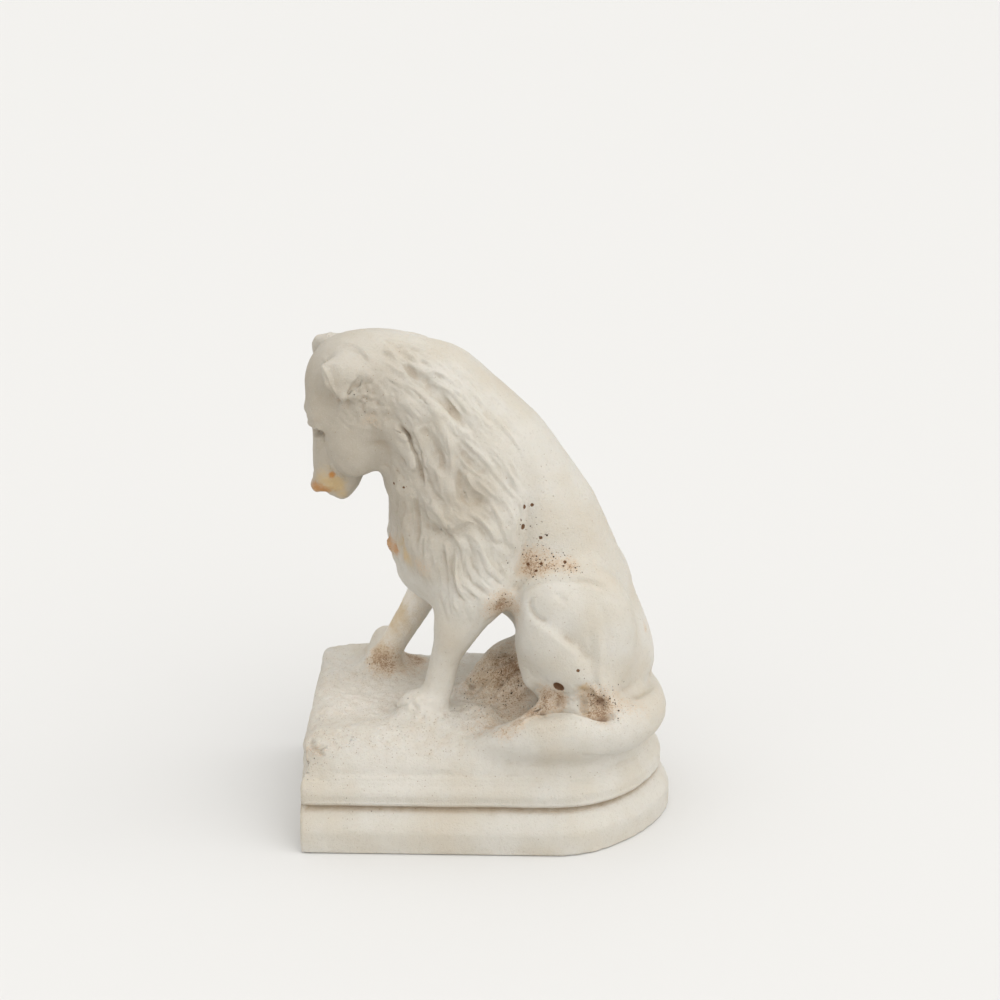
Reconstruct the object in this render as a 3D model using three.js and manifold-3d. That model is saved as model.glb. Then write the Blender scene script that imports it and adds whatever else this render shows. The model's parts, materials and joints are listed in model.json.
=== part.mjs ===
// A cast stone bookend: a long-haired dog sits with its head bowed on a moulded block.
// Dog, tail, ground and block are one solid. Millimetres, +Z up, the dog faces -X.
import * as THREE from 'three';
import { mergeVertices } from 'three/addons/utils/BufferGeometryUtils.js';
import Module from 'manifold-3d';

// Driving dimensions
const BLOCK = {
  left: -59, right: 57.5, halfWidth: 43, spareLeft: 3,
  cornerX: 30, cornerSoftness: 9, roundness: 16,
};
const PLINTH = { top: 10.8, shoulder: 4.4 };
const ROLL = { inset: 6, bulge: 3, bottom: 15.2, top: 23.6 };
const GROUND = {
  top: 37.6, lift: 1, edge: 24.6, bottom: 18, inset: 6.4, nearSlope: 15, farSlope: 4, ripple: 0.5,
};
const KNOLL = { x: -46, y: 34, spread: 15, rise: 3.2 };
const FOOT = { near: -18, far: 18 };
const HEAD = { turn: 0.2, pivotX: -38 };
const EAR = { near: [140.4, 149.6], far: [139.8, 151.6] };
const LOCK = { steps: 6, softness: 1.4 };
const CUT = { steps: 6, softness: 2.2 };
const CHEST = { from: -40, top: 106, bottom: 80, step: 4, fade: 10, wave: 0.9, radius: 1.8, depth: 1.3 };
const MESHING = {
  cell: 1.2, block: 6, blockReach: 1.6, nearestCrossing: 0.03, triangles: 9300,
  firstError: 1e-5, growth: 1.3, passes: 80, evenness: 0.004, leastTurnCosine: 0.25,
};

const wasm = await Module();
wasm.setup();

const { max, min, abs, hypot, sqrt, exp, sin, cos, sign, PI } = Math;
const clamp = (value, low, high) => min(max(value, low), high);
const mix = (a, b, share) => a + (b - a) * share;

// Signed distance of a cone with round ends a and b, each [x, y, z, radius], negative inside
function roundConeDistance(px, py, pz, a, b) {
  const [bx, by, bz] = [b[0] - a[0], b[1] - a[1], b[2] - a[2]];
  const [qx, qy, qz] = [px - a[0], py - a[1], pz - a[2]];
  const length2 = bx * bx + by * by + bz * bz;
  const taper = a[3] - b[3];
  const straight = length2 - taper * taper;
  const along = qx * bx + qy * by + qz * bz;
  const past = along - length2;
  const rx = qx * length2 - bx * along;
  const ry = qy * length2 - by * along;
  const rz = qz * length2 - bz * along;
  const side2 = rx * rx + ry * ry + rz * rz;
  const slant = sign(taper) * taper * taper * side2;
  if (sign(past) * straight * past * past * length2 > slant) {
    return sqrt(side2 + past * past * length2) / length2 - b[3];
  }
  if (sign(along) * straight * along * along * length2 < slant) {
    return sqrt(side2 + along * along * length2) / length2 - a[3];
  }
  return (sqrt(side2 * straight / length2) + along * taper) / length2 - a[3];
}

// Smooth union and smooth cut of signed distances
function blend(a, b, softness) {
  const near = max(softness - abs(a - b), 0) / softness;
  return min(a, b) - near * near * softness / 4;
}
const carve = (a, cut, softness) => -blend(-a, cut, softness);

// A limb is a chain of spheres with tapering flesh between them: [x, y, z, radius]
function limb(points, { squash = 1, softness = 3 } = {}) {
  const chain = points.map(([x, y, z, r]) => [x, y / squash, z, r]);
  const distance = (x, y, z) => {
    let d = Infinity;
    for (let i = 1; i < chain.length; i++) {
      d = min(d, roundConeDistance(x, y / squash, z, chain[i - 1], chain[i]));
    }
    return d;
  };
  const centre = new THREE.Box3().setFromPoints(points.map(([x, y, z]) => new THREE.Vector3(x, y, z)))
    .getCenter(new THREE.Vector3());
  const reach = max(...points.map(([x, y, z, r]) => centre.distanceTo({ x, y, z }) + r * max(squash, 1)));
  return { softness, distance, centre, reach };
}

// The same through a smooth curve, for tail and hair
function curvedLimb(points, { steps = 4, squash = 1, softness = 3 } = {}) {
  const path = new THREE.CatmullRomCurve3(points.map(([x, y, z]) => new THREE.Vector3(x, y, z)));
  const count = (points.length - 1) * steps;
  const fine = path.getPoints(count).map((p, i) => {
    const place = i / steps;
    const before = min(Math.floor(place), points.length - 2);
    return [p.x, p.y, p.z, mix(points[before][3], points[before + 1][3], place - before)];
  });
  return limb(fine, { squash, softness });
}

function ellipsoid([cx, cy, cz], [rx, ry, rz], { tilt = 0, softness = 3 } = {}) {
  const c = cos(tilt);
  const s = sin(tilt);
  const distance = (x, y, z) => {
    const dy = y - cy;
    const u = c * (x - cx) + s * (z - cz);
    const w = c * (z - cz) - s * (x - cx);
    const scaled = hypot(u / rx, dy / ry, w / rz);
    const steep = hypot(u / (rx * rx), dy / (ry * ry), w / (rz * rz));
    return steep > 0 ? scaled * (scaled - 1) / steep : -min(rx, ry, rz);
  };
  return { softness, distance };
}

// Left and right of the body; the near side is -Y
const mirrored = (make) => [-1, 1].flatMap((side) => make(side));

// Turns forms about the vertical line at x = pivotX, y = 0
function turned(forms, angle, pivotX) {
  const c = cos(angle);
  const s = sin(angle);
  return forms.map(({ softness, distance }) => ({
    softness,
    distance: (x, y, z) => distance(pivotX + c * (x - pivotX) + s * y, c * y - s * (x - pivotX), z),
  }));
}

const torso = [
  limb([
    [31, 0, 50, 19.5], [24, 0, 72, 20.3], [11, 0, 94, 23.4], [-4.5, 0, 113, 25.2],
    [-21, 0, 131.5, 22.6], [-33, 0, 139.5, 17.8],
  ], { squash: 0.86, softness: 8 }),
  limb([
    [-10, 0, 78, 14], [-12.5, 0, 87, 19.8], [-12.6, 0, 96, 20.4], [-13, 0, 108, 19.4],
  ], { squash: 0.95, softness: 7 }),
  limb([
    [-22, 0, 117, 9], [-27, 0, 104, 5], [-28.6, 0, 87, 4.4], [-25, 0, 79, 3.6],
  ], { squash: 1.9, softness: 4 }),
];

const head = turned([
  ellipsoid([-43.6, 0, 139.5], [15.2, 14.5, 17], { tilt: 0.2, softness: 6 }),
  ...mirrored((side) => [
    ellipsoid([-53.7, side * 5.2, 131.6], [5.3, 5.4, 4.4], { softness: 3.5 }),
    ellipsoid([-44, side * 9, 123.5], [8.5, 5.5, 11], { softness: 5 }),
    limb([
      [-50.2, side * 3.2, 126, 6.2], [-51.8, side * 2.5, 115, 4.9], [-52.3, side * 2.2, 110.8, 4.3],
    ], { softness: 2.5 }),
  ]),
  limb([
    [-45.4, 0, 119, 7], [-46.6, 0, 110.5, 5.2], [-47.7, 0, 105.9, 3.3], [-50.4, 0, 106.8, 2.6],
  ], { squash: 1.15, softness: 1.5 }),
  ellipsoid([-54.5, 0, 108], [2.9, 3.4, 2.9], { softness: 1.5 }),
], HEAD.turn, HEAD.pivotX);

// Drop ears, the near one hanging lower and shorter. Each has a thick fold at the back, a thin rim in
// front and a shallow flap between them. Heights are shares of the way from the tip to the top.
const ears = turned(mirrored((side) => {
  const [tip, top] = side < 0 ? EAR.near : EAR.far;
  const at = (x, y, share, radius) => [x, side * y, mix(tip, top, share), radius];
  return [
    curvedLimb([
      at(-50, 12.5, 0.9, 2.8), at(-46.5, 13.8, 0.84, 3.5), at(-43.6, 15.2, 0.64, 3.8),
      at(-43.6, 16, 0.4, 3.2), at(-45.4, 17, 0.16, 2.2), at(-48, 17.6, 0, 1.2),
    ], { steps: 3, softness: 2.5 }),
    curvedLimb([
      at(-49.8, 13.4, 0.98, 2.3), at(-53, 14, 0.96, 2.2), at(-54, 15.2, 0.64, 1.3),
      at(-52.2, 16.6, 0.28, 1.1), at(-48.5, 17.6, 0, 1.1),
    ], { steps: 3, softness: 1.5 }),
    ellipsoid(at(-48.6, 15, 0.56), [5.2, 3, (top - tip) * 0.52], { softness: 2 }),
  ];
}), HEAD.turn, HEAD.pivotX);

// The raised fold of skin over the root of each ear
const earRoots = turned(mirrored((side) => [
  curvedLimb([
    [-48.4, side * 9.8, 152, 1.8], [-42.4, side * 11.2, 151.4, 2.2], [-38.6, side * 12.8, 148.8, 2.2],
    [-36, side * 14, 145.6, 1.6],
  ], { steps: 3, softness: 2 }),
]), HEAD.turn, HEAD.pivotX);

const eyes = turned(mirrored((side) => [
  ellipsoid([-54.7, side * 6.9, 126.8], [2.1, 2.2, 1.8], { softness: 0.8 }),
]), HEAD.turn, HEAD.pivotX);

const headHollows = turned(mirrored((side) => [
  limb([[-56.6, side * 6.4, 128.4, 1.5], [-54.4, side * 9, 126, 1.7]], { softness: 2 }),
  limb([
    [-57, side * 11.5, 146, 1.6], [-56, side * 13, 139, 2.2], [-54, side * 13, 133, 1.4],
  ], { softness: 4 }),
  curvedLimb([
    [-52.6, side * 3, 105.6, 0.7], [-51.4, side * 6, 108, 0.8], [-47.6, side * 7.2, 111.8, 0.7],
  ], { steps: 2, softness: 1.2 }),
  limb([[-55.6, side * 1.8, 105.4, 0.7], [-56.8, side * 3, 107, 0.7]], { softness: 0.8 }),
]), HEAD.turn, HEAD.pivotX);

const foreQuarters = [
  ...mirrored((side) => ellipsoid([-9, side * 13, 100], [17, 10, 30], { tilt: 0.1, softness: 8 })),
  limb([[-5, -14, 97, 11], [-4, FOOT.near, 81, 10.4], [-11.2, FOOT.near, 66, 6.2]], { softness: 8 }),
  limb([
    [-11.2, FOOT.near, 66, 6], [-14.8, FOOT.near, 56, 4.8],
    [-17, FOOT.near, 46, 4.9], [-19, FOOT.near, 41, 5.2], [-26, FOOT.near, 39.5, 4.4],
  ], { softness: 4 }),
  limb([
    [-13, 14, 82, 9], [-23, FOOT.far, 66, 5.6], [-28, FOOT.far, 57, 4.9],
    [-34.5, FOOT.far, 46, 4.4], [-36, FOOT.far, 43, 5], [-39.5, FOOT.far, 42, 4.2],
  ], { softness: 5 }),
];

// The near thigh is drawn further forward
const kneeX = (side) => (side < 0 ? 16.5 : 21);
const hindQuarters = [
  ...mirrored((side) => [
    ellipsoid([26, side * 18, 64], [19, 13.5, 24], { tilt: -0.12, softness: 5 }),
    ellipsoid([kneeX(side) + 1, side * 22, 77], [10, 9.5, 10], { softness: 5 }),
    limb([
      [kneeX(side), side * 25, 66, 8], [kneeX(side) + 14.5, side * 26, 50, 7], [34, side * 27, 43, 6],
      [16, side * 28.5, 41, 5],
    ], { softness: 4 }),
  ]),
  ellipsoid([32, 0, 52], [17, 23, 20], { softness: 7 }),
];

const tail = [
  curvedLimb([
    [45, 10, 42, 5], [47.6, -4, 39.5, 6.6], [47, -16, 38.5, 8], [40, -27, 38, 8.4], [30, -32, 38, 8.6],
    [19, -33, 37, 8.2], [9, -33, 35.5, 6.6], [2, -33, 34.5, 4.4], [-3.5, -32.5, 34, 2],
  ], { steps: 3, softness: 2.5 }),
];

const mound = [
  ellipsoid([9, 6, 41], [15, 18, 12], { softness: 5 }),
  ellipsoid([-37, 26, 41.5], [6, 5, 9], { softness: 3 }),
];

// The block's outline seen from above: flat end, two sides and a blunt round end
function blockOutline(inset) {
  const half = BLOCK.halfWidth - inset;
  const { cornerX, cornerSoftness: soft, roundness } = BLOCK;
  const right = BLOCK.right - inset;
  const left = BLOCK.left - BLOCK.spareLeft;
  const shape = new THREE.Shape();
  shape.moveTo(left, -half);
  shape.lineTo(cornerX - soft, -half);
  shape.bezierCurveTo(cornerX + soft, -half, right, -roundness, right, 0);
  shape.bezierCurveTo(right, roundness, cornerX + soft, half, cornerX - soft, half);
  shape.lineTo(left, half);
  shape.closePath();
  return shape;
}

function distanceToOutline(shape) {
  const points = shape.getPoints(10);
  return (x, y) => {
    let nearest2 = Infinity;
    let inside = false;
    for (let i = 1; i < points.length; i++) {
      const [a, b] = [points[i - 1], points[i]];
      const [ex, ey] = [b.x - a.x, b.y - a.y];
      const [wx, wy] = [x - a.x, y - a.y];
      const t = clamp((wx * ex + wy * ey) / (ex * ex + ey * ey || 1), 0, 1);
      nearest2 = min(nearest2, (wx - ex * t) ** 2 + (wy - ey * t) ** 2);
      if ((a.y > y) !== (b.y > y) && x < ex * wy / ey + a.x) inside = !inside;
    }
    return inside ? -sqrt(nearest2) : sqrt(nearest2);
  };
}

// Plinth, rounded shoulder, groove and roll, as [inset, height] from the floor up
function mouldingProfile() {
  const profile = [[0, 0], [0, PLINTH.top]];
  const shoulderSteps = 4;
  const rollSteps = 7;
  for (let i = 1; i <= shoulderSteps; i++) {
    const turn = PI / 2 * i / shoulderSteps;
    profile.push([PLINTH.shoulder * (1 - cos(turn)), PLINTH.top + PLINTH.shoulder * sin(turn)]);
  }
  for (let i = 0; i <= rollSteps; i++) {
    const turn = PI * i / rollSteps;
    profile.push([ROLL.inset - ROLL.bulge * sin(turn), mix(ROLL.bottom, ROLL.top, (1 - cos(turn)) / 2)]);
  }
  return profile;
}

function mouldedBlock() {
  const outlineSteps = 9;
  const rings = mouldingProfile().map(([inset, z]) => {
    const outline = blockOutline(inset).getPoints(outlineSteps).slice(0, -1);
    return outline.map((p) => [p.x, p.y, z]);
  });
  const n = rings[0].length;
  const faces = [];
  for (let r = 0; r < rings.length - 1; r++) {
    for (let i = 0; i < n; i++) {
      const a = r * n + i;
      const b = r * n + (i + 1) % n;
      faces.push(a, b, b + n, a, b + n, a + n);
    }
  }
  const flat = (ring) => ring.map(([x, y]) => new THREE.Vector2(x, y));
  const top = (rings.length - 1) * n;
  for (const [a, b, c] of THREE.ShapeUtils.triangulateShape(flat(rings[0]), [])) faces.push(a, c, b);
  for (const [a, b, c] of THREE.ShapeUtils.triangulateShape(flat(rings.at(-1)), [])) {
    faces.push(top + a, top + b, top + c);
  }
  return { positions: rings.flat(2), faces };
}

const groundEdge = distanceToOutline(blockOutline(GROUND.inset));

// Rough ground: it rolls off gently on the near side and stands full on the far side
function groundDistance(x, y, z) {
  const farness = clamp(y / BLOCK.halfWidth, -1, 1);
  const slope = mix(GROUND.nearSlope, GROUND.farSlope, (1 + farness) / 2);
  const ripple = GROUND.ripple * (sin(x * 0.21 + y * 0.13) + sin(y * 0.27 - x * 0.09));
  const knoll = KNOLL.rise * exp(-(((x - KNOLL.x) ** 2 + (y - KNOLL.y) ** 2) / KNOLL.spread ** 2));
  const height = GROUND.top + GROUND.lift * farness + ripple + knoll - GROUND.edge;
  const outward = max(1 + groundEdge(x, y) / slope, 0);
  const upward = max((z - GROUND.edge) / height, 0);
  const reached = hypot(outward, upward);
  const steepness = hypot(outward / slope, upward / height);
  return steepness > 0 ? reached * (reached - 1) / steepness : -slope;
}

// The body without its hair
const bareForms = [
  ...torso, ...foreQuarters, ...hindQuarters, ...tail, ...mound, ...head, ...earRoots, ...ears,
];
function bodyDistance(x, y, z) {
  let d = groundDistance(x, y, z);
  for (const form of bareForms) d = blend(d, form.distance(x, y, z), form.softness);
  for (const hollow of headHollows) d = carve(d, hollow.distance(x, y, z), hollow.softness);
  return d;
}

// A point on the body's surface at (x, z), seen from one side, moved out along the surface normal
function flankPoint(x, z, side, out) {
  const start = 45;
  const nudge = 0.5;
  const p = new THREE.Vector3(x, side * start, z);
  for (let d = bodyDistance(...p); d > 0.02 && p.y * side > 1; d = bodyDistance(...p)) p.y -= side * d * 0.7;
  const normal = new THREE.Vector3(...['x', 'y', 'z'].map((axis) => {
    const ahead = p.clone();
    ahead[axis] += nudge;
    return bodyDistance(...ahead) - bodyDistance(...p);
  })).normalize();
  return p.addScaledVector(normal, out);
}

// Hair lies along S-shaped paths on the flank from one (x, z) to another: bow bends a path to its left
// and wave swings it both ways. It tapers to its tip. Rise lifts a lock, depth sinks a groove.
function strand(side, { from, to, bow = 0, wave = 0, radius, tip = 0.5, rise, depth }) {
  const along = new THREE.Vector2(to[0] - from[0], to[1] - from[1]);
  const across = new THREE.Vector2(-along.y, along.x).normalize();
  const { steps, softness } = rise === undefined ? CUT : LOCK;
  const points = [];
  for (let i = 0; i <= steps; i++) {
    const t = i / steps;
    const swing = bow * sin(PI * t) + wave * sin(2 * PI * t);
    const r = radius * mix(1, tip, abs(2 * t - 0.8) ** 2);
    const out = rise === undefined ? r - depth * r / radius : rise * r / radius - r;
    const x = from[0] + along.x * t + across.x * swing;
    const z = from[1] + along.y * t + across.y * swing;
    const p = flankPoint(x, z, side, out);
    points.push([p.x, p.y, p.z, r]);
  }
  return limb(points, { softness });
}

const locks = mirrored((side) => [
  { from: [-34, 131], to: [-23.6, 107], bow: 4, wave: 0.6, radius: 2.8, rise: 1 },
  { from: [-27, 139], to: [-17.5, 104], bow: 2.2, wave: 1.8, radius: 3.4, rise: 1.1 },
  { from: [-21, 142], to: [-12, 111], bow: 2, wave: 1.8, radius: 3.2, rise: 1.1 },
  { from: [-16, 145], to: [-1, 115], bow: 2, wave: 1.6, radius: 3.6, rise: 0.8 },
  { from: [-9, 144], to: [8.5, 113], bow: 2.4, wave: 1.2, radius: 3.6, rise: 0.7 },
  { from: [-20.5, 112], to: [-10, 97], bow: -1.5, wave: 1, radius: 3, rise: 1.1 },
  { from: [-11, 107], to: [4, 98], bow: -1.5, wave: 0.8, radius: 3.2, rise: 1 },
  { from: [-2, 108], to: [9.6, 90], bow: 2, wave: 0.6, radius: 3.2, rise: 0.8 },
  { from: [-22, 101], to: [-14.5, 86], bow: -1, wave: 1, radius: 2.8, rise: 1 },
].map((lock) => strand(side, lock)));

const maneGrooves = mirrored((side) => [
  { from: [-31.5, 133], to: [-20.5, 113.5], bow: 4.2, radius: 2.2, depth: 2.6 },
  { from: [-22, 132.5], to: [-15, 118.5], bow: 1.2, radius: 2, depth: 1.7 },
  { from: [-15.7, 141], to: [-5.8, 128.5], bow: 0.8, radius: 2.4, depth: 1.3 },
  { from: [-10, 125.4], to: [-2.6, 118.6], bow: -0.6, radius: 2.2, depth: 1.9 },
  { from: [-11.3, 121], to: [-2, 108.6], bow: -2.6, radius: 2.4, depth: 2 },
  { from: [-20.6, 102.8], to: [-11, 97.2], bow: -0.6, radius: 2, depth: 2 },
  { from: [-23.2, 116], to: [-17.5, 88], bow: -1.6, wave: 0.6, radius: 1.8, depth: 1.6 },
  { from: [11.4, 118], to: [8, 79], bow: 1, wave: 0.5, radius: 2.2, depth: 1.5 },
  { from: [-27, 149.5], to: [-13, 138], bow: 0.4, radius: 2.2, depth: 0.9 },
  { from: [-8, 147], to: [2, 136.5], bow: 0.6, radius: 2.2, depth: 0.6 },
  { from: [-31.7, 122], to: [-26.6, 115.6], bow: 0.5, radius: 1.6, depth: 1.1 },
].map((groove) => strand(side, groove)));

// Wavy feathering down the outside of the upper foreleg
const feathering = mirrored((side) => Array.from({ length: 5 }, (_, i) => strand(side, {
  from: [-14 + i * 4, 93], to: [-11 + i * 4.4, 78 + i * 0.6], bow: -1.8, wave: 0.8, radius: 1.7, depth: 1.3,
})));

// Strands hanging down the front of the chest, each at its own y
function chestStrand(y) {
  const points = [];
  for (let z = CHEST.top; z > CHEST.bottom; z -= CHEST.step) {
    const p = new THREE.Vector3(CHEST.from, y + CHEST.wave * sin(z * 0.3 + y), z);
    for (let d = bodyDistance(...p); d > 0.02; d = bodyDistance(...p)) p.x += d * 0.7;
    const radius = CHEST.radius * clamp((CHEST.top - z) / CHEST.fade, 0.2, 1);
    points.push([p.x + (CHEST.depth / CHEST.radius - 1) * radius, p.y, p.z, radius]);
  }
  return limb(points, { softness: CUT.softness });
}
const chestStrands = [-14, -9.5, -5, 0, 5, 9.5, 14].map(chestStrand);

// Grooves between the toes of a forepaw, running back from its tip at [x, y, z]
const toeGrooves = [[-29.5, FOOT.near, 40], [-43, FOOT.far, 42]].flatMap(([x, y, z]) => (
  [-1.6, 1.6].map((across) => limb([
    [x - 1, y + across * 1.2, z, 0.8], [x + 2.4, y + across, z + 3.6, 0.8], [x + 6, y + across, z + 4.6, 0.4],
  ], { softness: 1 }))
));

// Muscle lines of the thigh: the knee's hollow, the shin and the groove behind it, the hock
const thighForms = mirrored((side) => [
  { from: [12, 72.5], to: [28, 60.5], bow: 0.8, radius: 3.4, rise: 0.9 },
  { from: [34.2, 64], to: [35, 49], bow: 0, radius: 3, rise: 0.8 },
].map((ridge) => strand(side, ridge)));
const thighGrooves = mirrored((side) => [
  { from: [16.5, 82.6], to: [17.5, 72], bow: -4, radius: 1.8, depth: 1.2 },
  { from: [21, 71], to: [31, 60], bow: 1, radius: 2.2, depth: 1.3 },
  { from: [15, 45], to: [24, 46.5], radius: 3.4, tip: 0.8, depth: 2.4 },
  { from: [28, 47], to: [37, 44.5], radius: 3.6, tip: 0.8, depth: 2.6 },
].map((groove) => strand(side, groove)));

const forms = [...bareForms, ...locks, ...thighForms];
const hollows = [
  ...headHollows, ...maneGrooves, ...feathering, ...chestStrands, ...toeGrooves, ...thighGrooves,
];

function statueDistance(x, y, z) {
  let d = groundDistance(x, y, z);
  const outOfReach = ({ centre, reach, softness }) => centre
    && hypot(x - centre.x, y - centre.y, z - centre.z) - reach > abs(d) + softness;
  for (const form of forms) {
    if (!outOfReach(form)) d = blend(d, form.distance(x, y, z), form.softness);
  }
  for (const hollow of hollows) {
    if (!outOfReach(hollow)) d = carve(d, hollow.distance(x, y, z), hollow.softness);
  }
  for (const eye of eyes) d = blend(d, eye.distance(x, y, z), eye.softness);
  return max(d, GROUND.bottom - z);
}

// The six tetrahedra that fill a grid cell, by its corners: bit 1 is +X, bit 2 is +Y, bit 4 is +Z
const TETRAHEDRA = [[0, 1, 3, 7], [0, 3, 2, 7], [0, 2, 6, 7], [0, 6, 4, 7], [0, 4, 5, 7], [0, 5, 1, 7]];

// A grid of distances over a box, each worked out once and when it is first asked for
function distanceGrid(distance, box, cell) {
  const counts = box.getSize(new THREE.Vector3()).divideScalar(cell).ceil().addScalar(1).toArray();
  const strides = [1, counts[0], counts[0] * counts[1]];
  const values = new Float32Array(strides[2] * counts[2]).fill(NaN);
  const place = (i) => [
    box.min.x + (i % counts[0]) * cell,
    box.min.y + (Math.floor(i / strides[1]) % counts[1]) * cell,
    box.min.z + Math.floor(i / strides[2]) * cell,
  ];
  const valueAt = (i) => {
    if (Number.isNaN(values[i])) values[i] = distance(...place(i)) || 1e-6;
    return values[i];
  };
  const corners = Array.from({ length: 8 }, (_, c) => (
    (c & 1) * strides[0] + (c >> 1 & 1) * strides[1] + (c >> 2) * strides[2]
  ));
  return { counts, strides, place, valueAt, corners };
}

// The grid's cells, without the blocks of cells that lie well away from the surface
function* cellsNearSurface(grid, distance, cell) {
  const { counts, strides, place } = grid;
  const { block, blockReach } = MESHING;
  const far = block * cell * blockReach;
  for (let z0 = 0; z0 < counts[2] - 1; z0 += block) {
    for (let y0 = 0; y0 < counts[1] - 1; y0 += block) {
      for (let x0 = 0; x0 < counts[0] - 1; x0 += block) {
        const corner = place(x0 + y0 * strides[1] + z0 * strides[2]);
        if (abs(distance(...corner.map((c) => c + block * cell / 2))) > far) continue;
        for (let z = z0; z < min(z0 + block, counts[2] - 1); z++) {
          for (let y = y0; y < min(y0 + block, counts[1] - 1); y++) {
            for (let x = x0; x < min(x0 + block, counts[0] - 1); x++) {
              yield x + y * strides[1] + z * strides[2];
            }
          }
        }
      }
    }
  }
}

function meshOf(distance, box, cell) {
  const grid = distanceGrid(distance, box, cell);
  const { place, valueAt, corners } = grid;
  const positions = [];
  const faces = [];
  const made = new Map();

  const crossing = (origin, c1, c2) => {
    const [low, high] = c1 < c2 ? [c1, c2] : [c2, c1];
    const key = (origin + corners[low]) * 8 + (low ^ high);
    if (!made.has(key)) {
      const a = valueAt(origin + corners[low]);
      const b = valueAt(origin + corners[high]);
      const t = clamp(a / (a - b), MESHING.nearestCrossing, 1 - MESHING.nearestCrossing);
      const p = place(origin + corners[low]);
      const q = place(origin + corners[high]);
      made.set(key, positions.length / 3);
      positions.push(mix(p[0], q[0], t), mix(p[1], q[1], t), mix(p[2], q[2], t));
    }
    return made.get(key);
  };

  const addFacing = (triangle, outward) => {
    const [p, q, r] = triangle.map((v) => new THREE.Vector3().fromArray(positions, v * 3));
    const normal = q.sub(p).cross(r.sub(p));
    faces.push(...(normal.dot(outward) > 0 ? triangle : [triangle[0], triangle[2], triangle[1]]));
  };

  for (const origin of cellsNearSurface(grid, distance, cell)) {
    const solid = corners.map((offset) => valueAt(origin + offset) < 0);
    if (solid.every((v) => v === solid[0])) continue;
    for (const tetrahedron of TETRAHEDRA) {
      const ins = tetrahedron.filter((c) => solid[c]);
      const outs = tetrahedron.filter((c) => !solid[c]);
      if (!ins.length || !outs.length) continue;
      const outward = new THREE.Vector3(...place(origin + corners[outs[0]]))
        .sub(new THREE.Vector3(...place(origin + corners[ins[0]])));
      const ring = ins.length === 2
        ? [[ins[0], outs[0]], [ins[0], outs[1]], [ins[1], outs[1]], [ins[1], outs[0]]]
        : ins.flatMap((i) => outs.map((o) => [i, o]));
      const points = ring.map(([i, o]) => crossing(origin, i, o));
      addFacing(points.slice(0, 3), outward);
      if (points.length === 4) addFacing([points[0], points[2], points[3]], outward);
    }
  }
  return { positions, faces };
}

// Squared distances to planes, summed in a symmetric 4 x 4 matrix of ten terms
const TERMS = 10;

function addPlane(sums, v, a, b, c, d, weight) {
  const terms = [a * a, a * b, a * c, a * d, b * b, b * c, b * d, c * c, c * d, d * d];
  for (let k = 0; k < TERMS; k++) sums[v * TERMS + k] += terms[k] * weight;
}

function planeError(q, [x, y, z]) {
  return q[0] * x * x + q[4] * y * y + q[7] * z * z + q[9]
    + 2 * (q[1] * x * y + q[2] * x * z + q[5] * y * z + q[3] * x + q[6] * y + q[8] * z);
}

// The point nearest to all summed planes, or the middle where they don't fix one
function bestPoint(q, middle, room) {
  const [a, b, c, d, e, f] = [q[0], q[1], q[2], q[4], q[5], q[7]];
  const det = a * (d * f - e * e) - b * (b * f - c * e) + c * (b * e - c * d);
  const size = (a + d + f) / 3;
  if (det < 1e-3 * size ** 3) return middle;
  const [x, y, z] = [-q[3], -q[6], -q[8]];
  const point = [
    (x * (d * f - e * e) - b * (y * f - e * z) + c * (y * e - d * z)) / det,
    (a * (y * f - e * z) - x * (b * f - c * e) + c * (b * z - y * c)) / det,
    (a * (d * z - y * e) - b * (b * z - y * c) + x * (b * e - c * d)) / det,
  ];
  return hypot(point[0] - middle[0], point[1] - middle[1], point[2] - middle[2]) < room ? point : middle;
}

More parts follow.
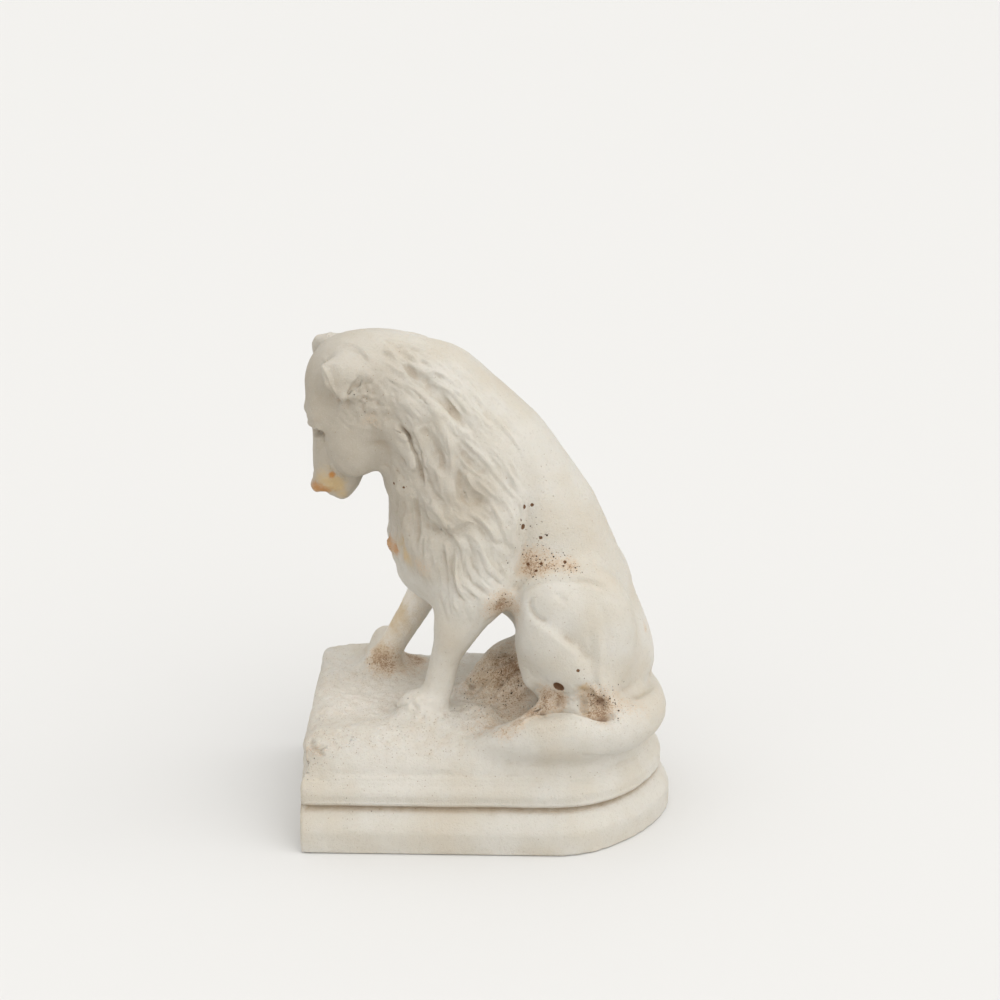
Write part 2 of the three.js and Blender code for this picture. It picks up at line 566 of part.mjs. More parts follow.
// Thins a closed mesh, collapsing first the edges that matter least to its form
function thinned({ positions, faces }, target) {
  const at = (v) => [positions[v * 3], positions[v * 3 + 1], positions[v * 3 + 2]];
  const normalOf = (p, q, r) => {
    const [ux, uy, uz] = [q[0] - p[0], q[1] - p[1], q[2] - p[2]];
    const [wx, wy, wz] = [r[0] - p[0], r[1] - p[1], r[2] - p[2]];
    return [uy * wz - uz * wy, uz * wx - ux * wz, ux * wy - uy * wx];
  };
  const corner = (f, k) => faces[f * 3 + k];
  const cornersOf = (f) => [faces[f * 3], faces[f * 3 + 1], faces[f * 3 + 2]];
  const total = faces.length / 3;
  const fans = Array.from({ length: positions.length / 3 }, () => []);
  const sums = new Float64Array(fans.length * TERMS);
  const dead = new Uint8Array(total);

  for (let f = 0; f < total; f++) {
    const points = cornersOf(f).map(at);
    const normal = normalOf(...points);
    const twiceArea = hypot(...normal) || 1e-12;
    const [a, b, c] = normal.map((n) => n / twiceArea);
    const d = -(a * points[0][0] + b * points[0][1] + c * points[0][2]);
    for (const v of cornersOf(f)) {
      fans[v].push(f);
      addPlane(sums, v, a, b, c, d, twiceArea / 6);
    }
  }

  const neighbours = (v) => new Set(fans[v].flatMap(cornersOf).filter((other) => other !== v));
  const staysUpright = (v, other, point) => fans[v].every((f) => {
    const ids = cornersOf(f);
    if (ids.includes(other)) return true;
    const before = normalOf(...ids.map(at));
    const after = normalOf(...ids.map((id) => (id === v ? point : at(id))));
    const dot = before[0] * after[0] + before[1] * after[1] + before[2] * after[2];
    return dot > MESHING.leastTurnCosine * hypot(...before) * hypot(...after) && hypot(...after) > 0.01;
  });

  const mayCollapse = (a, b, point) => {
    const around = neighbours(b);
    const shared = [...neighbours(a)].filter((v) => around.has(v));
    return shared.length === 2 && staysUpright(a, b, point) && staysUpright(b, a, point);
  };

  const collapse = (a, b, point) => {
    point.forEach((value, axis) => { positions[a * 3 + axis] = value; });
    for (let k = 0; k < TERMS; k++) sums[a * TERMS + k] += sums[b * TERMS + k];
    for (const f of fans[b]) {
      if (cornersOf(f).includes(a)) {
        dead[f] = 1;
        continue;
      }
      for (let k = 0; k < 3; k++) if (corner(f, k) === b) faces[f * 3 + k] = a;
      fans[a].push(f);
    }
    for (const v of neighbours(a)) fans[v] = fans[v].filter((f) => !dead[f]);
    fans[a] = fans[a].filter((f) => !dead[f]);
    fans[b] = [];
  };

  let left = total;
  let limit = MESHING.firstError;
  for (let pass = 0; pass < MESHING.passes && left > target; pass++) {
    const touched = new Uint8Array(fans.length);
    for (let f = 0; f < total && left > target; f++) {
      if (dead[f]) continue;
      for (let k = 0; k < 3; k++) {
        const a = corner(f, k);
        const b = corner(f, (k + 1) % 3);
        if (a > b || touched[a] || touched[b]) continue;
        const [p, q] = [at(a), at(b)];
        const length = hypot(p[0] - q[0], p[1] - q[1], p[2] - q[2]);
        const both = Array.from({ length: TERMS }, (_, i) => sums[a * TERMS + i] + sums[b * TERMS + i]);
        const point = bestPoint(both, p.map((value, axis) => (value + q[axis]) / 2), length);
        const cost = planeError(both, point) + MESHING.evenness * length ** 2;
        if (cost > limit || !mayCollapse(a, b, point)) continue;
        collapse(a, b, point);
        touched[a] = 1;
        left -= 2;
        break;
      }
    }
    limit *= MESHING.growth;
  }

  const renumbered = new Map();
  const kept = { positions: [], faces: [] };
  for (let f = 0; f < total; f++) {
    if (dead[f]) continue;
    for (const v of cornersOf(f)) {
      if (!renumbered.has(v)) {
        renumbered.set(v, renumbered.size);
        kept.positions.push(...at(v));
      }
      kept.faces.push(renumbered.get(v));
    }
  }
  return kept;
}

function solidOf({ positions, faces }) {
  return new wasm.Manifold(new wasm.Mesh({
    numProp: 3,
    vertProperties: new Float32Array(positions),
    triVerts: new Uint32Array(faces),
  }));
}

// Everything left of the book face is cut away
function beyondBookFace() {
  const size = { x: 20, y: BLOCK.halfWidth * 3, z: GROUND.top * 3 };
  const box = new THREE.BoxGeometry(size.x, size.y, size.z);
  box.translate(BLOCK.left - size.x / 2, 0, 0);
  box.deleteAttribute('normal');
  box.deleteAttribute('uv');
  const merged = mergeVertices(box);
  return { positions: [...merged.attributes.position.array], faces: [...merged.index.array] };
}

const space = new THREE.Box3(new THREE.Vector3(-68, -48, 14), new THREE.Vector3(64, 48, 164));
const carved = meshOf(statueDistance, space, MESHING.cell);
const light = thinned(carved, MESHING.triangles);
const whole = solidOf(light).add(solidOf(mouldedBlock())).subtract(solidOf(beyondBookFace())).getMesh();

const geometry = new THREE.BufferGeometry();
geometry.setAttribute('position', new THREE.BufferAttribute(new Float32Array(whole.vertProperties), 3));
geometry.setIndex([...whole.triVerts]);
geometry.translate(-(BLOCK.left + BLOCK.right) / 2, 0, 0);
const stone = new THREE.MeshStandardMaterial({ color: 0xddd5c8, roughness: 0.9, metalness: 0 });
const bookend = new THREE.Mesh(geometry, stone);
bookend.name = 'dog_bookend';

const part = new THREE.Group();
part.add(bookend);
export default part;
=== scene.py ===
import json
import math
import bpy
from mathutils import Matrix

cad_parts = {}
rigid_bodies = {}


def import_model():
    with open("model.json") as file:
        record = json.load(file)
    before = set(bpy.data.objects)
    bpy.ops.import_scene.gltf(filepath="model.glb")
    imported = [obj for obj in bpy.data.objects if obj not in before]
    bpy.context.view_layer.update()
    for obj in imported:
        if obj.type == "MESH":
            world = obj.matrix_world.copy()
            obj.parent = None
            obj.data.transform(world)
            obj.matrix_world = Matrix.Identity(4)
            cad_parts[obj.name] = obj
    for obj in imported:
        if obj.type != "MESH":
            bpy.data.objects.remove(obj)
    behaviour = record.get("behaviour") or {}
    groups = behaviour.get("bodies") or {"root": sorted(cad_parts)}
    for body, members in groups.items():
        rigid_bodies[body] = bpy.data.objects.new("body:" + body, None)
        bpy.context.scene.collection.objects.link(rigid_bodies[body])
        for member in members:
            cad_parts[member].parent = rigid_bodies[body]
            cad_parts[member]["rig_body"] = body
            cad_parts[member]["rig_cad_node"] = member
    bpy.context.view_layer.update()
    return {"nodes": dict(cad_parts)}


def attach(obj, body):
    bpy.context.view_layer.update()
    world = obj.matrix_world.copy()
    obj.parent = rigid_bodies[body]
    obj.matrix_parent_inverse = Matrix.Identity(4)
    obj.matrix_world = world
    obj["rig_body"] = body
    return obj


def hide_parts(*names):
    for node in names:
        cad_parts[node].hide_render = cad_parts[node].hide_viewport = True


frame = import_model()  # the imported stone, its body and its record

from types import SimpleNamespace

import bpy
import numpy as np
from mathutils import Vector
from mathutils.bvhtree import BVHTree

mm = 0.001  # sizes below are in millimetres


def makeActive(piece):
    bpy.ops.object.select_all(action="DESELECT")
    piece.select_set(True)
    bpy.context.view_layer.objects.active = piece


def addAndApply(piece, name, kind, **settings):
    makeActive(piece)
    modifier = piece.modifiers.new(name, kind)
    for key, value in settings.items():
        setattr(modifier, key, value)
    bpy.ops.object.modifier_apply(modifier=name)


# Camera, floor and light

cameraSetup = {
    "target": (2.65, 0, 102.5),
    "azimuth": 1.7,
    "elevation": 17.5,
    "distance": 700,
    "lens": 80.1,
    "sensor": 36,
}


def placeCamera(setup):
    azimuth = math.radians(setup["azimuth"])
    elevation = math.radians(setup["elevation"])
    back = Vector((
        math.sin(azimuth) * math.cos(elevation),
        -math.cos(azimuth) * math.cos(elevation),
        math.sin(elevation),
    ))
    target = Vector(setup["target"]) * mm
    place = target + back * setup["distance"] * mm
    bpy.ops.object.camera_add(location=place, rotation=(-back).to_track_quat("-Z", "Y").to_euler())
    camera = bpy.context.object
    camera.name = "photoCamera"
    camera.data.lens = setup["lens"]
    camera.data.sensor_width = setup["sensor"]
    bpy.context.scene.camera = camera


lightSetup = {
    "sky": 0.42,
    "skyColour": (1, 0.98, 0.95),
    "suns": [
        # name, where it stands, strength, spread in degrees, colour
        ("softKey", (0.74, -0.38, 0.56), 1.35, 85, (1, 0.99, 0.975)),
        ("wideTop", (-0.05, -0.1, 1), 1.7, 125, (1, 0.995, 0.985)),
        ("frontFill", (-0.1, -0.9, 0.4), 0.55, 100, (1, 0.985, 0.96)),
    ],
}


def addLights(setup):
    world = bpy.context.scene.world or bpy.data.worlds.new("studioSky")
    bpy.context.scene.world = world
    world.use_nodes = True
    background = world.node_tree.nodes["Background"]
    background.inputs["Color"].default_value = (*setup["skyColour"], 1)
    background.inputs["Strength"].default_value = setup["sky"]
    for name, stand, strength, spread, colour in setup["suns"]:
        turn = Vector(stand).to_track_quat("Z", "Y").to_euler()
        bpy.ops.object.light_add(type="SUN", location=stand, rotation=turn)
        sun = bpy.context.object
        sun.name = name
        sun.data.energy = strength
        sun.data.angle = math.radians(spread)
        sun.data.color = colour
    bpy.context.scene.view_settings.view_transform = "Standard"


floorSetup = {"size": 14, "colour": (0.71, 0.708, 0.7, 1), "roughness": 0.9, "shine": 0.1}


def addFloor(setup):
    bpy.ops.mesh.primitive_plane_add(size=setup["size"], location=(0, 0, 0))
    floor = bpy.context.object
    floor.name = "paleFloor"
    paper = bpy.data.materials.new("palePaper")
    paper.use_nodes = True
    shader = paper.node_tree.nodes["Principled BSDF"]
    shader.inputs["Base Color"].default_value = setup["colour"]
    shader.inputs["Roughness"].default_value = setup["roughness"]
    shader.inputs["Specular IOR Level"].default_value = setup["shine"]
    floor.data.materials.append(paper)


print("camera, light and floor")
placeCamera(cameraSetup)
addLights(lightSetup)
addFloor(floorSetup)


# Reading and writing the mesh in millimetres

def readMesh(items, name, width=3, kind=float):
    values = np.empty(len(items) * width, kind)
    items.foreach_get(name, values)
    return values.reshape(-1, width)


def meshPoints(piece):
    return readMesh(piece.data.vertices, "co") / mm


def meshNormals(piece):
    return readMesh(piece.data.vertices, "normal")


def setPoints(piece, points):
    piece.data.vertices.foreach_set("co", (points * mm).ravel())
    piece.data.update()


def pushPoints(piece, heights):
    # each point moves along its normal by its own height
    setPoints(piece, meshPoints(piece) + meshNormals(piece) * heights[:, None])


def writeLayer(piece, name, values):
    layer = piece.data.attributes.new(name, "FLOAT", "POINT")
    layer.data.foreach_set("value", values.astype(np.float32))


def smoothStep(low, high, value):
    share = np.clip((value - low) / (high - low), 0, 1)
    return share * share * (3 - 2 * share)


def between(foot, top, height):
    return smoothStep(*foot, height) * (1 - smoothStep(*top, height))


def latticeNoise(points, size, seed, cells=32):
    # smooth noise from -1 to 1, with bumps about one size across
    rolls = np.random.default_rng(seed).random((cells, cells, cells))
    scaled = points / size
    corner = np.floor(scaled).astype(int)
    share = scaled - corner
    share = share * share * (3 - 2 * share)
    total = np.zeros(len(points))
    for i in (0, 1):
        for j in (0, 1):
            for k in (0, 1):
                weight = np.abs((1 - i - share[:, 0]) * (1 - j - share[:, 1]) * (1 - k - share[:, 2]))
                cell = (corner + (i, j, k)) % cells
                total += weight * rolls[cell[:, 0], cell[:, 1], cell[:, 2]]
    return total * 2 - 1


# The stone blank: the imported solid, made even and soft

blankSetup = {
    "mergeDistance": 0.01,
    "voxel": 0.85,
    "softPasses": 26,
    "blockSoftness": 0.3,
    "blockTop": 22,
    "dogFoot": 27,
    "morePasses": 45,
    "hairFade": 4,
    "hairShare": 0.65,
    # places where the solid's edges are softened further: centre, radius, share
    "softSpots": [
        ((22, -32, 67), 16, 0.6),
        ((4, -37, 35), 9, 1),
        ((14, -38, 31), 8, 0.8),
        ((26, -37, 29), 7, 0.6),
        ((7, -35.5, 41), 5, 0.9),
        ((-5, -5, 41), 9, 1),
        ((-2, -14, 38), 7, 1),
        ((-7, -22, 114.1), 7, 1),
        ((-2.8, -21.4, 120.6), 6, 1),
        ((-11.4, -15.7, 137.8), 6, 0.9),
    ],
}

hairOutline = [
    (-33, 158), (-20, 157), (-5, 149), (5, 139), (11, 128), (13.5, 118), (13.5, 106), (12, 96), (9, 84),
    (3, 79), (-4, 76), (-10, 71), (-16, 71), (-21, 80), (-37, 82), (-37, 108), (-32, 112), (-30.5, 121),
    (-31, 130), (-34, 138), (-33, 146), (-36, 150),
]


def insideOutline(x, z, outline):
    # signed distance to a closed outline, positive inside
    corners = np.array(outline, float)
    nearest = np.full(len(x), np.inf)
    inside = np.zeros(len(x), bool)
    for (ax, az), (bx, bz) in zip(corners, np.roll(corners, -1, axis=0)):
        legX, legZ = bx - ax, bz - az
        share = np.clip(((x - ax) * legX + (z - az) * legZ) / (legX ** 2 + legZ ** 2), 0, 1)
        nearest = np.minimum(nearest, np.hypot(x - ax - legX * share, z - az - legZ * share))
        crosses = (az > z) != (bz > z)
        with np.errstate(divide="ignore", invalid="ignore"):
            inside ^= crosses & (x < legX * (z - az) / legZ + ax)
    return np.where(inside, nearest, -nearest)


def hairShare(points, fade):
    return smoothStep(0, fade, insideOutline(points[:, 0], points[:, 2], hairOutline))


def copyOfNode(name):
    makeActive(frame["nodes"][name])
    bpy.ops.object.duplicate()
    piece = bpy.context.object
    bpy.ops.object.parent_clear(type="CLEAR_KEEP_TRANSFORM")
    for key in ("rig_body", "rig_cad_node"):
        if key in piece:
            del piece[key]
    return piece


def mergeDoubles(piece, distance):
    makeActive(piece)
    bpy.ops.object.mode_set(mode="EDIT")
    bpy.ops.mesh.select_all(action="SELECT")
    bpy.ops.mesh.remove_doubles(threshold=distance * mm)
    bpy.ops.mesh.normals_make_consistent(inside=False)
    bpy.ops.object.mode_set(mode="OBJECT")


def soften(piece, name, weights, passes, steps=20):
    # each point is smoothed as far as its own weight says
    group = piece.vertex_groups.new(name=name)
    levels = np.round(weights * steps).astype(int)
    for level in np.unique(levels):
        group.add(np.nonzero(levels == level)[0].tolist(), level / steps, "REPLACE")
    addAndApply(piece, "smooth", "SMOOTH", factor=0.5, iterations=passes, vertex_group=name)


def makeBlank(setup):
    piece = copyOfNode("dog_bookend")
    piece.name = "carvedDog"
    piece.data.materials.clear()
    mergeDoubles(piece, setup["mergeDistance"])
    addAndApply(piece, "even", "REMESH", mode="VOXEL", voxel_size=setup["voxel"] * mm)
    onDog = smoothStep(setup["blockTop"], setup["dogFoot"], meshPoints(piece)[:, 2])
    weights = setup["blockSoftness"] + (1 - setup["blockSoftness"]) * onDog
    soften(piece, "softening", weights, setup["softPasses"])
    points = meshPoints(piece)
    extra = hairShare(points, setup["hairFade"]) * setup["hairShare"]
    for centre, radius, share in setup["softSpots"]:
        away = np.linalg.norm(points - centre, axis=1) / radius
        extra = np.maximum(extra, share * np.exp(-away ** 4))
    soften(piece, "extraSoftening", extra, setup["morePasses"])
    addAndApply(piece, "finer", "SUBSURF", levels=1, render_levels=1)
    return piece


print("blank")
stone = makeBlank(blankSetup)
print("  faces", len(stone.data.polygons))


# Strokes of the chisel: height, half width, and the points they pass

maneStrokes = {
    "pocketLow": (-1.1, 2.1, [(-9.2, -21.3, 117.4), (-8.6, -22, 113.1), (-5.8, -22.6, 110.2),
        (-1.5, -23.3, 108.5)]),
    "lowLock": (1.1, 1.3, [(-18.9, -23, 108.3), (-16.1, -24.2, 106.1), (-14, -24.4, 103.7),
        (-12.1, -25, 101.3)]),
    "brightLock": (1.2, 1.5, [(-13.7, -20.3, 132.8), (-12.1, -21.6, 126.9), (-11.3, -21.2, 120.5),
        (-10.7, -22.2, 114.5), (-10.3, -23.8, 109.9)]),
    "ruffHollow": (-1.3, 2.4, [(-33.6, -14.7, 126), (-32.3, -13, 120.8), (-32.2, -10.2, 116)]),
    "deepGroove": (-1.5, 0.75, [(-27.3, -15.6, 131.1), (-25.2, -15.9, 129.9), (-23.7, -16.3, 127.5),
        (-22.7, -17.6, 124.4), (-21.7, -19, 121.3), (-21.1, -19.9, 118.4), (-20.5, -20.2, 115.7),
        (-19.9, -20.9, 113.7)]),
    "deepRidge": (1.8, 1.7, [(-30.1, -15.7, 131.1), (-27.3, -16.2, 129.3), (-25.5, -17.2, 126.8),
        (-24.2, -18.6, 123.7), (-22.9, -19.9, 120.6), (-22, -20, 117.5)]),
    "lockBehind": (1.5, 1.8, [(-22.6, -18.4, 132.2), (-20.5, -18, 127.7), (-19.3, -18.3, 123.4),
        (-18, -21.6, 119.3)]),
    "grooveBehind": (-1.2, 1.6, [(-20.5, -18, 131.5), (-17.7, -18.5, 128.2), (-15.6, -19.6, 124.4),
        (-14.6, -21, 121), (-14.3, -22, 118.5)]),
    "ridgeBehind": (0.43, 0.85, [(-15.2, -20.8, 129.2), (-14, -21.6, 125.6), (-12.5, -21.6, 120.9)]),
    "broadLock": (0.9, 2.1, [(-19.5, -18.1, 140.3), (-16.7, -19.2, 136.9), (-14.6, -20.2, 132.8),
        (-13.3, -21.3, 129.3)]),
    "topGroove": (-0.9, 1.9, [(-25.9, -11.4, 149.8), (-20.6, -14.1, 144.9), (-17.5, -15.2, 142.7),
        (-14.8, -15.4, 140.3), (-12.3, -16.5, 136.8), (-8.6, -17.9, 132.2)]),
    "topRidge": (0.43, 1.1, [(-25, -11.4, 151.2), (-21.2, -12.9, 147.7), (-16.3, -15, 145.1),
        (-12, -15.6, 142.8)]),
    "topGrooveB": (-0.43, 0.77, [(-23.6, -14.2, 145.5), (-21.1, -15.5, 143.4), (-18.6, -16.6, 141.5),
        (-16.8, -17.4, 139.5)]),
    "topGrooveC": (-0.37, 0.77, [(-19.4, -13.5, 146.6), (-16.3, -15.1, 144.5), (-13.2, -15.7, 142.8)]),
    "thinRidgeA": (0.31, 0.51, [(-11.3, -19.3, 132.6), (-10.4, -20.1, 130.3), (-9.1, -20.6, 127.9)]),
    "thinRidgeB": (0.25, 0.68, [(-3.9, -6.7, 144.4), (-1.1, -7.6, 141.2), (1.7, -8.9, 138)]),
    "thinRidgeC": (0.22, 0.77, [(0.2, -19.6, 125.5), (2.6, -20.1, 123.1), (4.8, -20.4, 120.1),
        (6.9, -20.4, 116.9), (8.7, -20.2, 112.7)]),
    "thinRidgeD": (0.31, 0.68, [(0.9, -23.4, 109.2), (1.8, -23.9, 107.5), (2.5, -24.4, 105.7)]),
    "middleGrooveA": (-0.6, 1.9, [(-9.5, -20.4, 124.1), (-7.7, -20.3, 122.2), (-5.8, -20.8, 120.4),
        (-3.7, -21.5, 118.8), (-0.9, -22.4, 117.8)]),
    "middleRidge": (0.52, 1.1, [(-11.9, -21.6, 121.3), (-12.1, -23.1, 115.4), (-11.8, -23.9, 110.9)]),
    "middleGrooveB": (-1, 1.8, [(-9.2, -21.2, 119.2), (-9.2, -21.4, 115.5), (-8.8, -22.4, 112),
        (-7, -22.7, 110.2), (-4, -23, 109.1), (0.3, -23.9, 108.1)]),
    "middleLow": (0.31, 0.77, [(-7, -21.9, 113.8), (-4.6, -22.8, 112.2), (-1.2, -23.3, 111.1),
        (1.5, -23.2, 109.2)]),
    "middleGrooveC": (-0.31, 0.77, [(-5.8, -23, 116.7), (-4.5, -23.2, 114.2), (-2.7, -23.2, 112)]),
    "innerGrooveA": (-0.5, 0.77, [(-18, -20.6, 122.2), (-16.7, -22, 118.8), (-15.5, -22.8, 115.2),
        (-14.9, -23.1, 112.2)]),
    "innerGrooveB": (-0.5, 0.77, [(-19, -20.7, 115.9), (-17.9, -22.9, 113.4), (-16.1, -23.3, 110.6),
        (-13.7, -23.5, 109.4)]),
    "ruffA": (-0.5, 0.68, [(-31.1, -13, 119.2), (-29.2, -14.2, 117.6), (-27.5, -16.2, 115.7),
        (-25.9, -18, 114.3)]),
    "ruffRidge": (0.31, 0.68, [(-30.1, -13.4, 120.6), (-28.2, -14.8, 117.8), (-26.2, -17.4, 115.4)]),
    "ruffB": (-0.5, 0.68, [(-28.7, -15.3, 122.4), (-26.7, -18.2, 120.7), (-24.7, -20.2, 118.8)]),
    "ruffC": (-0.5, 0.77, [(-26.6, -17.8, 127), (-25.1, -18.8, 124.1), (-23.8, -19.9, 121.3)]),
    "neckGrooveA": (-1.11, 1.59, [(-20.1, -19.4, 101.3), (-18.2, -20.8, 100.2), (-15.7, -21.6, 99.8),
        (-13.2, -23, 99), (-11, -24.3, 97.9)]),
    "neckLock": (0.78, 1.02, [(-16.7, -24, 107.3), (-15.5, -24.3, 105.5), (-14, -24.5, 103.4),
        (-12.4, -24.8, 101.9)]),
    "neckGrooveB": (-0.75, 1.06, [(-21, -19.5, 107.1), (-20.1, -19.6, 104.3), (-18.2, -20.6, 102.4)]),
    "neckGrooveC": (-0.31, 0.77, [(-17.9, -23.6, 107.8), (-15.5, -24.4, 104.6), (-13.1, -24.7, 101.8)]),
    "maneEdge": (-0.43, 1.27, [(11.8, -17.9, 108.2), (11.8, -18.7, 102.1), (11.2, -19.3, 95.8),
        (10, -20, 89.5), (8.5, -21.4, 83.5)]),
    "shoulderArch": (-0.55, 1.38, [(-10, -25.5, 98.9), (-8.1, -26, 101.7), (-5.1, -26.5, 103.2),
        (-2.6, -26.7, 101.3), (-0.5, -26.6, 98.1)]),
    "shoulderB": (-0.25, 0.85, [(3.9, -21.8, 113.2), (5.7, -21.5, 111.2), (7.5, -21.1, 109.2)]),
    "shoulderC": (-0.28, 0.68, [(-2, -26.7, 97.5), (-0.2, -25.8, 94), (1.6, -25.1, 89.9), (4, -24.1, 85.7),
        (6.1, -23.2, 81.5)]),
    "sideA": (-0.19, 0.77, [(0.3, -23.9, 108.1), (2.5, -24.6, 104.5), (4, -24.5, 100), (5.8, -23.6, 94.6)]),
    "sideB": (-0.22, 0.77, [(-4.5, -24.3, 107.5), (-1.5, -25, 104.6), (1, -25.6, 100.3)]),
    "napeA": (-0.37, 0.77, [(-32.5, -6.9, 155.5), (-29.1, -8.9, 153.5), (-26.2, -10.9, 150.9),
        (-23.7, -12, 148.7)]),
    "napeB": (-0.37, 0.85, [(-23.9, -8.5, 152.8), (-20.1, -11.4, 149.8), (-16.3, -13.8, 146.7),
        (-12.6, -15.5, 143.4)]),
    "napeC": (-0.31, 0.85, [(-6.2, -9.8, 144.5), (-3.7, -12.1, 141.4), (-1.8, -13.7, 138)]),
    "napeCrown": (-0.25, 0.85, [(-30, -0.5, 157), (-22, 0.8, 155.6), (-14, -0.4, 152.6), (-6, 0.5, 148)]),
    "flowA": (-0.22, 0.94, [(2.9, -7.8, 138.4), (6.9, -8.2, 134.7), (10.3, -9.6, 130.7)]),
    "flowB": (-0.22, 0.94, [(-7.4, -11.3, 144.9), (-5.5, -13.2, 141.6), (-3, -14.4, 137.6),
        (-0.5, -15.8, 133.6)]),
    "flowC": (-0.22, 1.02, [(-5.9, -17, 135.7), (-2.9, -17.8, 131.6), (0.2, -18.7, 127.5),
        (3.2, -19.8, 124)]),
    "flowD": (-0.19, 1.02, [(4.6, -15.5, 129.7), (8, -16.2, 124.9), (11.1, -16.2, 119.2)]),
    "flowE": (-0.25, 0.85, [(-8.3, -20.4, 126.6), (-4.6, -21, 123), (-0.9, -21.8, 119.5),
        (2.4, -22, 115.2)]),
    "flowF": (-0.22, 0.85, [(-0.4, -20.4, 124.1), (2.1, -20.8, 121.1), (4.5, -20.9, 118),
        (6.9, -20.7, 113.5)]),
}

chestStrokes = {
    "chestSide": (-1, 1, [(-22.5, -19.5, 109.4), (-22.2, -19.2, 103.5), (-22.3, -19.5, 98.7),
        (-22.6, -19.4, 93.8)]),
    "chestRidge": (0.6, 0.8, [(-25.2, -17.7, 99.5), (-24.9, -17.6, 94.5), (-24.3, -17.7, 91)]),
    "chestTuft": (0.5, 1.1, [(-18.1, -22.8, 97.3), (-18.2, -21.6, 93)]),
    "chestA": (-0.6, 0.8, [(-28.3, -14.8, 108.5), (-28.9, -12.1, 102.8), (-29.6, -8.8, 96.8),
        (-30.3, -7.8, 91.5)]),
    "chestB": (-0.6, 0.8, [(-26.3, -17.4, 107.7), (-26.5, -15.8, 102.3), (-26.9, -14.7, 97.1),
        (-27.6, -11.3, 91.1)]),
    "chestC": (-0.5, 0.7, [(-24.3, -19.4, 108.4), (-24.1, -19, 104.1), (-24.2, -18.8, 99.8),
        (-24.9, -17.7, 94.9)]),
    "chestD": (-0.6, 0.8, [(-31.5, -3, 105.1), (-31.5, -3.5, 98.3), (-31.5, -3.9, 91.5)]),
    "chestLow": (-0.5, 0.8, [(-20.1, -19.8, 95.6), (-20.5, -20.1, 92.5), (-20.1, -20.5, 90)]),
}

featherStrokes = {
    "featherA": (-0.6, 0.55, [(-13.8, -23.7, 94.4), (-13.5, -23.8, 89.7), (-13.3, -23.8, 85.7),
        (-13.3, -23.9, 81.8), (-12.3, -24, 79.6)]),
    "featherB": (-0.6, 0.55, [(-11.9, -24.2, 92), (-11.7, -24.5, 88.1), (-11.3, -25, 85.1),
        (-11, -25.5, 82), (-9.5, -26.2, 79.7), (-7.6, -27, 78.1)]),
    "featherC": (-0.6, 0.55, [(-9.7, -25.2, 93.7), (-9.5, -25.7, 89.1), (-9.2, -26, 85.3),
        (-7.9, -26.6, 82.4), (-5.7, -27.2, 80.6), (-3.3, -27.8, 79.1)]),
    "featherD": (-0.6, 0.55, [(-7.5, -26.1, 94), (-7.6, -26.4, 89.4), (-7, -26.7, 86.3), (-5.1, -27, 84),
        (-2.6, -27.1, 82.3), (-0.2, -27.1, 80.5)]),
    "featherE": (-0.6, 0.55, [(-5.7, -25.9, 92.7), (-4.8, -26.2, 89.5), (-3.6, -26.4, 87.1),
        (-1.5, -26.5, 84.6), (1, -26.6, 82.6)]),
    "featherF": (-0.6, 0.55, [(-3.3, -26.4, 94.2), (-2.4, -26.2, 90.9), (-0.9, -26, 87.6), (1.6, -25.2, 85),
        (4.3, -24.1, 82.4)]),
    "featherG": (-0.6, 0.55, [(-1.4, -26.4, 96.1), (-0.3, -26, 92.6), (1.9, -25.2, 89.2),
        (4.3, -24.4, 86.3), (5.8, -23.6, 83.6)]),
    "featherH": (-0.35, 0.7, [(-15.2, -22, 76.9), (-14.3, -23, 73.9), (-13, -24.3, 70.5)]),
    "featherI": (-0.35, 0.7, [(-8.2, -26.8, 77.4), (-7, -26.5, 74.1), (-5.8, -25.7, 70.5)]),
    "featherJ": (-0.35, 0.7, [(-3.9, -27.8, 78.5), (-3.3, -26, 74.9), (-2.8, -24.4, 70)]),
}

